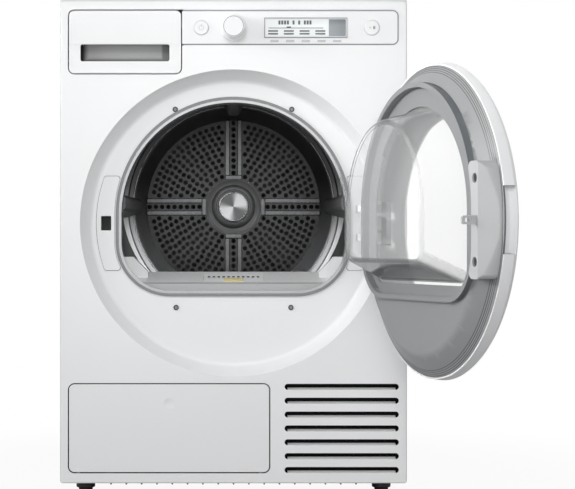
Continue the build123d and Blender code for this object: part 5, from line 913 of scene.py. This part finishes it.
class DRYER_OT_console(DryerStep, bpy.types.Operator):
    """Fascia, display, keys and water drawer."""

    bl_idname = "dryer.console"
    bl_label = "Console"

    # The handle's pocket: how far behind the drawer's face it starts, and its foot and head
    pocket_front = 0.003
    pocket_foot = 0.0202
    pocket_head = 0.0505

    # How far the display's frame stands proud, and how far frame and marks reach in
    frame_proud = 0.0003
    frame_depth = 0.001
    mark_depth = 0.002

    # Marks on the screen, as shares of its width and height: places, then width and height
    digits = ([(0.17 + 0.034 * step, 0.66) for step in (0, 1, 2, 3, 5, 7, 9, 10, 11)], (0.024, 0.2))
    underline = ([(0.05, 0.47)], (0.66, 0.03))
    pointer = ([(0.27, 0.47)], (0.05, 0.09))
    words = ([(0.045 + 0.19 * column, level) for column in range(4) for level in (0.3, 0.16)],
             (0.12, 0.07))

    def execute(self, context):
        refine("control_fascia", "lined_plastic", edge=sizes().fine_edge)
        refine("display_window", edge=sizes().fine_edge)
        refine("soft_keys", "faint_print")
        self.drawer()
        self.screen_frame()
        self.screen_bars()
        return {"FINISHED"}

    def drawer(self):
        """Drawer front with the grey pocket of its handle, and the parts behind it."""
        low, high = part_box("drawer_front")
        first = (low.x, low.y + self.pocket_front, low.z + self.pocket_foot)
        last = (high.x, high.y, low.z + self.pocket_head)
        repaint(
            refine("drawer_front", edge=sizes().fine_edge), "pocket_grey",
            lambda face: all(a <= b <= c for a, b, c in zip(first, face.center, last)),
        )
        coat("water_tank")
        # The housing is dark as painted shade, so the gap round the drawer reads dark
        coat("drawer_housing", finish="dark_plastic")

    def screen_frame(self):
        """Thin frame round the display."""
        low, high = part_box("display_window")
        front, back = low.y - self.frame_proud, low.y + self.frame_depth
        line = sizes().screen_frame
        upright = block("side", (low.x, front, low.z), (low.x + line, back, high.z))
        rail = block("side", (low.x, front, low.z), (high.x, back, low.z + line))
        sides = [
            upright, moved_copy(upright, "side", (high.x - low.x - line, 0, 0)),
            rail, moved_copy(rail, "side", (0, 0, high.z - low.z - line)),
        ]
        dress(joined("display_frame", sides), "cabinet", "printed")

    def screen_bars(self):
        """Plain bars that the display shows."""
        rows = (self.digits, self.underline, self.pointer, self.words)
        marks = [mark for row in rows for mark in self.marks(*row)]
        dress(joined("display_bars", marks), "cabinet", "printed")

    def marks(self, places, size):
        """Equal marks on the display, one modelled and the others copied from it."""
        low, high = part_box("display_window")
        width, height = high.x - low.x, high.z - low.z
        spots = [Vector((low.x + x * width, low.y, low.z + z * height)) for x, z in places]
        first = block(
            "mark", spots[0] - Vector((0, SIGN_PROUD, 0)),
            spots[0] + Vector((size[0] * width, self.mark_depth, size[1] * height)),
        )
        return [first] + [moved_copy(first, "mark", spot - spots[0]) for spot in spots[1:]]


class DRYER_OT_controls(DryerStep, bpy.types.Operator):
    """Knob and push buttons with their signs."""

    bl_idname = "dryer.controls"
    bl_label = "Knob and buttons"

    def execute(self, context):
        for node in ("knob", "power_button", "start_button"):
            refine(node, edge=sizes().fine_edge)
        self.knob_ring()
        self.start_signs()
        self.power_sign()
        return {"FINISHED"}

    def knob_ring(self):
        """Fine line round the knob's face."""
        line = ring(
            "knob_ring", front_middle("knob"), outer=0.0172, inner=0.0165,
            front=-SIGN_PROUD, back=0.0006, steps=64,
        )
        dress(line, "knob", "printed")

    def sign_bar(self, middle, left, right, foot, head):
        """An upright bar on a button, from distances to the button's middle."""
        return block(
            "bar", middle + Vector((left, -SIGN_PROUD, foot)),
            middle + Vector((right, SIGN_DEPTH, head)),
        )

    def start_signs(self):
        """Pause bars and start triangle."""
        middle = front_middle("start_button")
        bar = self.sign_bar(middle, 0.0022, 0.0035, -0.0026, 0.0026)
        bars = joined("pause_sign", [bar, moved_copy(bar, "bar", (0.002, 0, 0))])
        dress(bars, "start_button", "printed")
        clear_selection()
        bpy.ops.mesh.primitive_cylinder_add(
            vertices=3, radius=0.0024, depth=SIGN_PROUD + SIGN_DEPTH,
            rotation=(QUARTER_TURN, QUARTER_TURN, 0),
            location=middle + Vector((-0.003, (SIGN_DEPTH - SIGN_PROUD) / 2, 0)),
        )
        dress(named("start_sign"), "start_button", "faint_print")

    def power_sign(self):
        """Ring with a bar through its top."""
        middle = front_middle("power_button")
        arc = ring(
            "power_ring", middle, outer=0.0044, inner=0.0037,
            front=-SIGN_PROUD, back=SIGN_DEPTH, steps=40,
        )
        bar = self.sign_bar(middle, -0.0004, 0.0004, 0.0016, 0.0058)
        dress(joined("power_sign", [arc, bar]), "power_button", "faint_print")


class DRYER_OT_flap(DryerStep, bpy.types.Operator):
    """Flap at the foot of the front, its frame and levers."""

    bl_idname = "dryer.flap"
    bl_label = "Flap"

    def execute(self, context):
        refine("flap", edge=sizes().edge)
        # The frame is dark as painted shade, so the gap round the flap reads dark
        refine("flap_frame", "dark_plastic")
        for node in ("left_lever", "right_lever"):
            refine(node)
        return {"FINISHED"}


class DRYER_OT_mouth(DryerStep, bpy.types.Operator):
    """Tunnel, seal, steel lip, filter ledge and lint filter at the drum's mouth."""

    bl_idname = "dryer.mouth"
    bl_label = "Drum mouth"

    # The lint filter's slot: its middle along Y, and half its depth and width
    slot_middle = -0.220
    slot_half_depth = 0.006
    slot_half_width = 0.05

    def execute(self, context):
        for node in ("front_bulkhead", "tunnel", "door_seal"):
            refine(node)
        refine("opening_trim", "lip_steel")
        refine("filter_ledge", "ledge_grey", edge=sizes().fine_edge)
        refine("filter_tab", edge=sizes().fine_edge)
        lint_filter = refine("lint_filter", "ledge_grey", edge=sizes().fitting_edge)
        repaint(lint_filter, "dark_plastic", self.in_slot)
        return {"FINISHED"}

    def in_slot(self, face):
        x, y, _ = face.center
        inside = abs(y - self.slot_middle) < self.slot_half_depth and abs(x) < self.slot_half_width
        return inside and face.normal.z < 0.7


class DRYER_OT_drum(DryerStep, bpy.types.Operator):
    """Drum shell, with painted shade on its faces that look to the front, and lifters."""

    bl_idname = "dryer.drum"
    bl_label = "Drum"

    def execute(self, context):
        # Painted shade: the shell's faces towards the front take the dark wall steel
        repaint(refine("drum_shell"), "wall_steel", lambda face: face.normal.y < -0.7)
        refine("lifters", "grey_plastic", edge=sizes().lifter_edge)
        return {"FINISHED"}


class DRYER_OT_drum_back(DryerStep, bpy.types.Operator):
    """Perforated back wall of the drum with its rings, spokes and hub."""

    bl_idname = "dryer.drum_back"
    bl_label = "Drum back wall"

    axis_set_in = 0.0032
    sheet_radius = 0.1735
    sheet_inner = 0.05
    sheet = 0.0014
    ring_steps = 160

    # Air holes: their first ring, rings as a share of the pitch, and the room they keep
    first_ring = 0.0640
    ring_share = 0.87
    spoke_clearance = 0.0012
    row_start = 0.004
    row_margin = 0.008
    pin_length = 0.01

    # Spoke: where its rails and its foot start and end, and their rounding
    rail_span = (0.060, 0.1725)
    rail_edge = 0.0014
    foot_span = (0.054, 0.0635)
    foot_edge = 0.0016
    foot_rise = 1.6

    # Outlines to spin, as radius and depth
    rings_front = [
        (0.1720, 0.0), (0.1930, -0.0195), (0.1955, -0.0218), (0.1975, -0.0224),
        (0.1992, -0.0215), (0.2000, -0.0190), (0.2075, -0.0190), (0.2100, -0.0215),
        (0.2195, -0.0220), (0.2215, -0.0205), (0.2810, -0.0022),
    ]
    bead = [
        (0.1972, -0.0222), (0.1980, -0.0232), (0.1990, -0.0232), (0.1996, -0.0222),
        (0.1990, -0.0212), (0.1972, -0.0222),
    ]
    hub_collar = [
        (0.0325, 0.0), (0.0575, 0.0), (0.0575, -0.0035), (0.0565, -0.0050), (0.0540, -0.0056),
        (0.0525, -0.0085), (0.0470, -0.0140), (0.0440, -0.0155), (0.0345, -0.0162),
        (0.0325, -0.0150), (0.0325, 0.0),
    ]
    hub_rim = [
        (0.0270, -0.0100), (0.0325, -0.0100), (0.0325, -0.0150), (0.0312, -0.0168),
        (0.0295, -0.0172), (0.0282, -0.0165), (0.0276, -0.0150), (0.0270, -0.0150),
        (0.0270, -0.0100),
    ]
    hub_disc = [
        (0.0002, -0.0120), (0.0275, -0.0120), (0.0275, -0.0152), (0.0266, -0.0160),
        (0.0002, -0.0160), (0.0002, -0.0120),
    ]

    def execute(self, context):
        low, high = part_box("drum_rear_wall")
        self.axis = Vector((0.0, high.y - self.axis_set_in, (low.z + high.z) / 2))
        self.back_sheet()
        self.rings()
        self.spokes()
        self.hub()
        return {"FINISHED"}

    def back_sheet(self):
        """Flat sheet with its air holes."""
        sheet = ring(
            "drum_back_sheet", self.axis, self.sheet_radius, self.sheet_inner,
            front=0.0, back=self.sheet, steps=128,
        )
        cutter = self.hole_cutter()
        modify(sheet, "BOOLEAN", operation="DIFFERENCE", object=cutter, solver="EXACT")
        only(cutter)
        bpy.ops.object.delete()
        dress(sheet, "drum", "wall_steel", ("drum_rear_wall",))

    def pin(self, radius):
        """A pin that cuts one air hole, straight above the axis."""
        bpy.ops.mesh.primitive_cylinder_add(
            vertices=8, radius=sizes().hole / 2, depth=self.pin_length, rotation=FACING_FRONT,
            location=self.axis + Vector((0, 0, radius)),
        )

    def hole_cutter(self):
        """Staggered rings of pins between the spokes, and a row of pins along each spoke."""
        clear_selection()
        self.pin(self.first_ring + self.row_start)
        cutter = named("hole_cutter")
        bpy.ops.object.transform_apply(location=True, rotation=True, scale=True)
        edit(cutter)
        pitch, band = sizes().hole_pitch, self.sheet_radius - self.first_ring
        for _ in range(int((band - self.row_margin) / pitch)):
            bpy.ops.mesh.duplicate_move(TRANSFORM_OT_translate={"value": (0, 0, pitch)})
        ring_gap = pitch * self.ring_share
        beside_spoke = sizes().spoke / 2 + sizes().hole / 2 + self.spoke_clearance
        for number in range(int(band / ring_gap)):
            radius = self.first_ring + number * ring_gap
            start = math.asin(beside_spoke / radius)
            arc = QUARTER_TURN - 2 * start
            count = int(arc * radius / pitch) + 1
            step = arc / max(count - 1, 1)
            if number % 2:
                start, count = start + step / 2, count - 1
            self.pin_ring(radius, start, step, count)
        bpy.ops.mesh.select_all(action="SELECT")
        for _ in range(3):
            bpy.ops.mesh.duplicate()
            self.turn(QUARTER_TURN)
        tidy(cutter)
        return cutter

    def pin_ring(self, radius, start, step, count):
        """One row of pins round the axis, added to the cutter being edited."""
        bpy.ops.mesh.select_all(action="DESELECT")
        self.pin(radius)
        self.turn(start)
        for _ in range(count - 1):
            bpy.ops.mesh.duplicate()
            self.turn(step)

    def turn(self, angle):
        """Turns what is selected round the drum's axis."""
        bpy.ops.transform.rotate(value=angle, orient_axis="Y", center_override=self.axis)

    def rings(self):
        """Dished rim, stepped rings and cone outside the perforated sheet, with a bright bead."""
        back = [(radius, depth + self.sheet) for radius, depth in reversed(self.rings_front)]
        outline = self.rings_front + back + self.rings_front[:1]
        rings = turned("drum_back_rings", self.axis, outline, self.ring_steps)
        dress(rings, "drum", "graded_steel")
        bead = turned("drum_back_bead", self.axis, self.bead, self.ring_steps)
        dress(bead, "drum", "bright_trim")

    def spokes(self):
        """Two raised rails and a foot at the hub for each spoke."""
        half, rail, height = sizes().spoke / 2, sizes().rail, sizes().rail_height
        x, y, z = self.axis
        start, end = self.rail_span
        left_rail = block(
            "rail", (x - half, y - height, z + start), (x - half + rail, y, z + end),
            self.rail_edge,
        )
        right_rail = moved_copy(left_rail, "rail", (2 * half - rail, 0, 0))
        start, end = self.foot_span
        foot = block(
            "foot", (x - half, y - self.foot_rise * height, z + start), (x + half, y, z + end),
            self.foot_edge,
        )
        first = joined("drum_spoke_1", [left_rail, right_rail, foot])
        others = [
            turned_copy(first, "drum_spoke_%d" % (number + 1), self.axis, number * QUARTER_TURN)
            for number in (1, 2, 3)
        ]
        for spoke in (first, *others):
            dress(spoke, "drum", "spoke_steel")

    def hub(self):
        """Smoked collar, bright rim and turned cap."""
        collar = turned("hub_collar", self.axis, self.hub_collar)
        dress(collar, "drum", "hub_smoke", ("drum_hub",))
        dress(turned("hub_rim", self.axis, self.hub_rim), "drum", "bright_trim")
        dress(turned("hub_disc", self.axis, self.hub_disc), "drum", "hub_cap")


class DRYER_OT_works(DryerStep, bpy.types.Operator):
    """Drive, fan, coils and compressor inside the cabinet."""

    bl_idname = "dryer.works"
    bl_label = "Works"

    def execute(self, context):
        coat("bearing_bracket", finish="black_iron")
        coat(
            "left_roller", "right_roller", "roller_axles", "motor", "rotor", "fan_housing",
            "idler_pulley", "idler_bracket", "drive_belt", "heat_exchangers", "compressor",
        )
        return {"FINISHED"}


class DRYER_OT_back(DryerStep, bpy.types.Operator):
    """Back panel with its duct cover, drain spigot and mains inlet."""

    bl_idname = "dryer.back"
    bl_label = "Back"

    def execute(self, context):
        refine("rear_panel", edge=sizes().sheet_edge)
        for node in ("drain_spigot", "mains_inlet"):
            refine(node, edge=sizes().fine_edge)
        duct_cover = refine("rear_duct_cover", edge=sizes().fine_edge)
        # Painted shade: the cover's faces towards the drum are dark, so the drum's air holes read
        # dark
        repaint(duct_cover, "dark_plastic", lambda face: face.normal.y < -0.2)
        return {"FINISHED"}


class DRYER_OT_stage(DryerStep, bpy.types.Operator):
    """Floor, lights, background and camera."""

    bl_idname = "dryer.stage"
    bl_label = "Stage"

    # Name, place, what it is aimed at, width, power and spread in degrees
    lamps = (
        ("top_light", (-0.2, -3.0, 2.3), (0.0, -0.3, 0.5), 1.2, 25.0, 180),
        ("front_light", (0.0, -1.6, 0.62), (0.0, -0.3, 0.58), 0.7, 0.6, 64),
        ("right_light", (2.2, -2.0, 1.0), (0.4, -0.5, 0.5), 1.2, 4.0, 180),
        ("left_light", (-2.4, -1.6, 1.2), (0.0, -0.2, 0.45), 1.2, 16.0, 180),
        ("door_light", (-2.4, -0.95, 1.35), (0.36, -0.62, 0.7), 0.5, 1.8, 26),
    )
    white = (1.0, 1.0, 1.0, 1.0)
    soft_white = (0.985, 0.99, 1.0, 1.0)
    soft_strength = 0.46
    floor_grey = (0.5, 0.5, 0.5, 1.0)

    # How much of the floor's own shade the camera sees, and how far from the object it fades
    floor_shade = 0.06
    floor_fade = (0.45, 1.1)

    camera_place = (0.0, -3.5, 0.435)
    lens = 116.8
    sensor_width = 36.0
    shift = (0.0939, -0.0043)

    def execute(self, context):
        clear_selection()
        self.floor()
        self.background()
        for lamp in self.lamps:
            self.area_light(*lamp)
        self.camera()
        return {"FINISHED"}

    def floor(self):
        """Pale floor that the camera sees as white, but for a faint shadow."""
        bpy.ops.mesh.primitive_plane_add(size=30.0, location=(0, 0, 0))
        floor = named("floor")
        finish = Finish("floor_white")
        pale = finish.clouded(self.floor_grey, finish.noise(0.5), 0.02)
        finish.set(Base_Color=pale, Roughness=0.9)
        seen = Amount(finish, finish.node("ShaderNodeLightPath").outputs["Is Camera Ray"])
        glow = finish.node("ShaderNodeEmission", None, {"Color": self.white, "Strength": 1.0})
        across, along, _ = finish.axes()
        away = (across * across + along * along).root()
        fade = away.ramp(*self.floor_fade) * self.floor_shade + (1.0 - self.floor_shade)
        surfaces = {0: seen * fade, 1: finish.shader.outputs[0], 2: glow.outputs[0]}
        mixed = finish.node("ShaderNodeMixShader", None, surfaces)
        finish.plug(finish.output.inputs["Surface"], mixed.outputs[0])
        floor.data.materials.append(finish.material)

    def background(self):
        """Soft light from all round, which the camera and reflections see as white."""
        world = bpy.data.worlds.new("studio")
        bpy.context.scene.world = world
        world.use_nodes = True
        sky = Shading(world.node_tree)
        rays = sky.node("ShaderNodeLightPath").outputs
        seen = Amount(sky, rays["Is Camera Ray"]).above(rays["Is Glossy Ray"])
        seen = seen.above(rays["Is Transmission Ray"])
        soft, white = [
            sky.node("ShaderNodeBackground", None, {"Color": shade, "Strength": strength})
            for shade, strength in ((self.soft_white, self.soft_strength), (self.white, 1.0))
        ]
        skies = {0: seen, 1: soft.outputs[0], 2: white.outputs[0]}
        mixed = sky.node("ShaderNodeMixShader", None, skies)
        sky.node("ShaderNodeOutputWorld", None, {"Surface": mixed.outputs[0]})

    def area_light(self, name, place, aim, size, power, spread):
        """A square lamp turned towards a point."""
        bpy.ops.object.light_add(type="AREA", location=place)
        light = bpy.context.active_object
        light.name = name
        light.data.size = size
        light.data.energy = power
        light.data.spread = math.radians(spread)
        light.visible_camera = False
        light.rotation_mode = "QUATERNION"
        light.rotation_quaternion = (Vector(aim) - Vector(place)).to_track_quat("-Z", "Y")

    def camera(self):
        """Camera at the photograph's place."""
        bpy.ops.object.camera_add(location=self.camera_place, rotation=FACING_FRONT)
        camera = bpy.context.active_object
        camera.name = "photo_camera"
        camera.data.lens = self.lens
        camera.data.sensor_width = self.sensor_width
        camera.data.shift_x, camera.data.shift_y = self.shift
        camera.data.dof.use_dof = False
        bpy.context.scene.camera = camera
        bpy.context.scene.view_settings.view_transform = "Standard"


STEPS = (
    DRYER_OT_cabinet, DRYER_OT_recess_fittings, DRYER_OT_door, DRYER_OT_console,
    DRYER_OT_controls, DRYER_OT_flap, DRYER_OT_mouth, DRYER_OT_drum,
    DRYER_OT_drum_back, DRYER_OT_works, DRYER_OT_back, DRYER_OT_stage,
)


class DRYER_PT_panel(bpy.types.Panel):
    """Lists the building steps and the sizes and colours they use."""

    bl_idname = "DRYER_PT_panel"
    bl_label = "Clothes dryer"
    bl_space_type = "VIEW_3D"
    bl_region_type = "UI"
    bl_category = "Dryer"

    def draw(self, context):
        for group in (context.scene.dryer_colours, context.scene.dryer_sizes):
            for name in group.__annotations__:
                self.layout.prop(group, name)
        for step in STEPS:
            self.layout.operator(step.bl_idname)


CLASSES = (DryerColours, DryerSizes, *STEPS, DRYER_PT_panel)


def register():
    for kind in CLASSES:
        bpy.utils.register_class(kind)
    bpy.types.Scene.dryer_colours = bpy.props.PointerProperty(type=DryerColours)
    bpy.types.Scene.dryer_sizes = bpy.props.PointerProperty(type=DryerSizes)


def unregister():
    del bpy.types.Scene.dryer_sizes
    del bpy.types.Scene.dryer_colours
    for kind in reversed(CLASSES):
        bpy.utils.unregister_class(kind)


def main():
    register()
    bpy.ops.dryer.cabinet()
    bpy.ops.dryer.recess_fittings()
    bpy.ops.dryer.door()
    bpy.ops.dryer.console()
    bpy.ops.dryer.controls()
    bpy.ops.dryer.flap()
    bpy.ops.dryer.mouth()
    bpy.ops.dryer.drum()
    bpy.ops.dryer.drum_back()
    bpy.ops.dryer.works()
    bpy.ops.dryer.back()
    bpy.ops.dryer.stage()


if __name__ == "__main__":
    main()
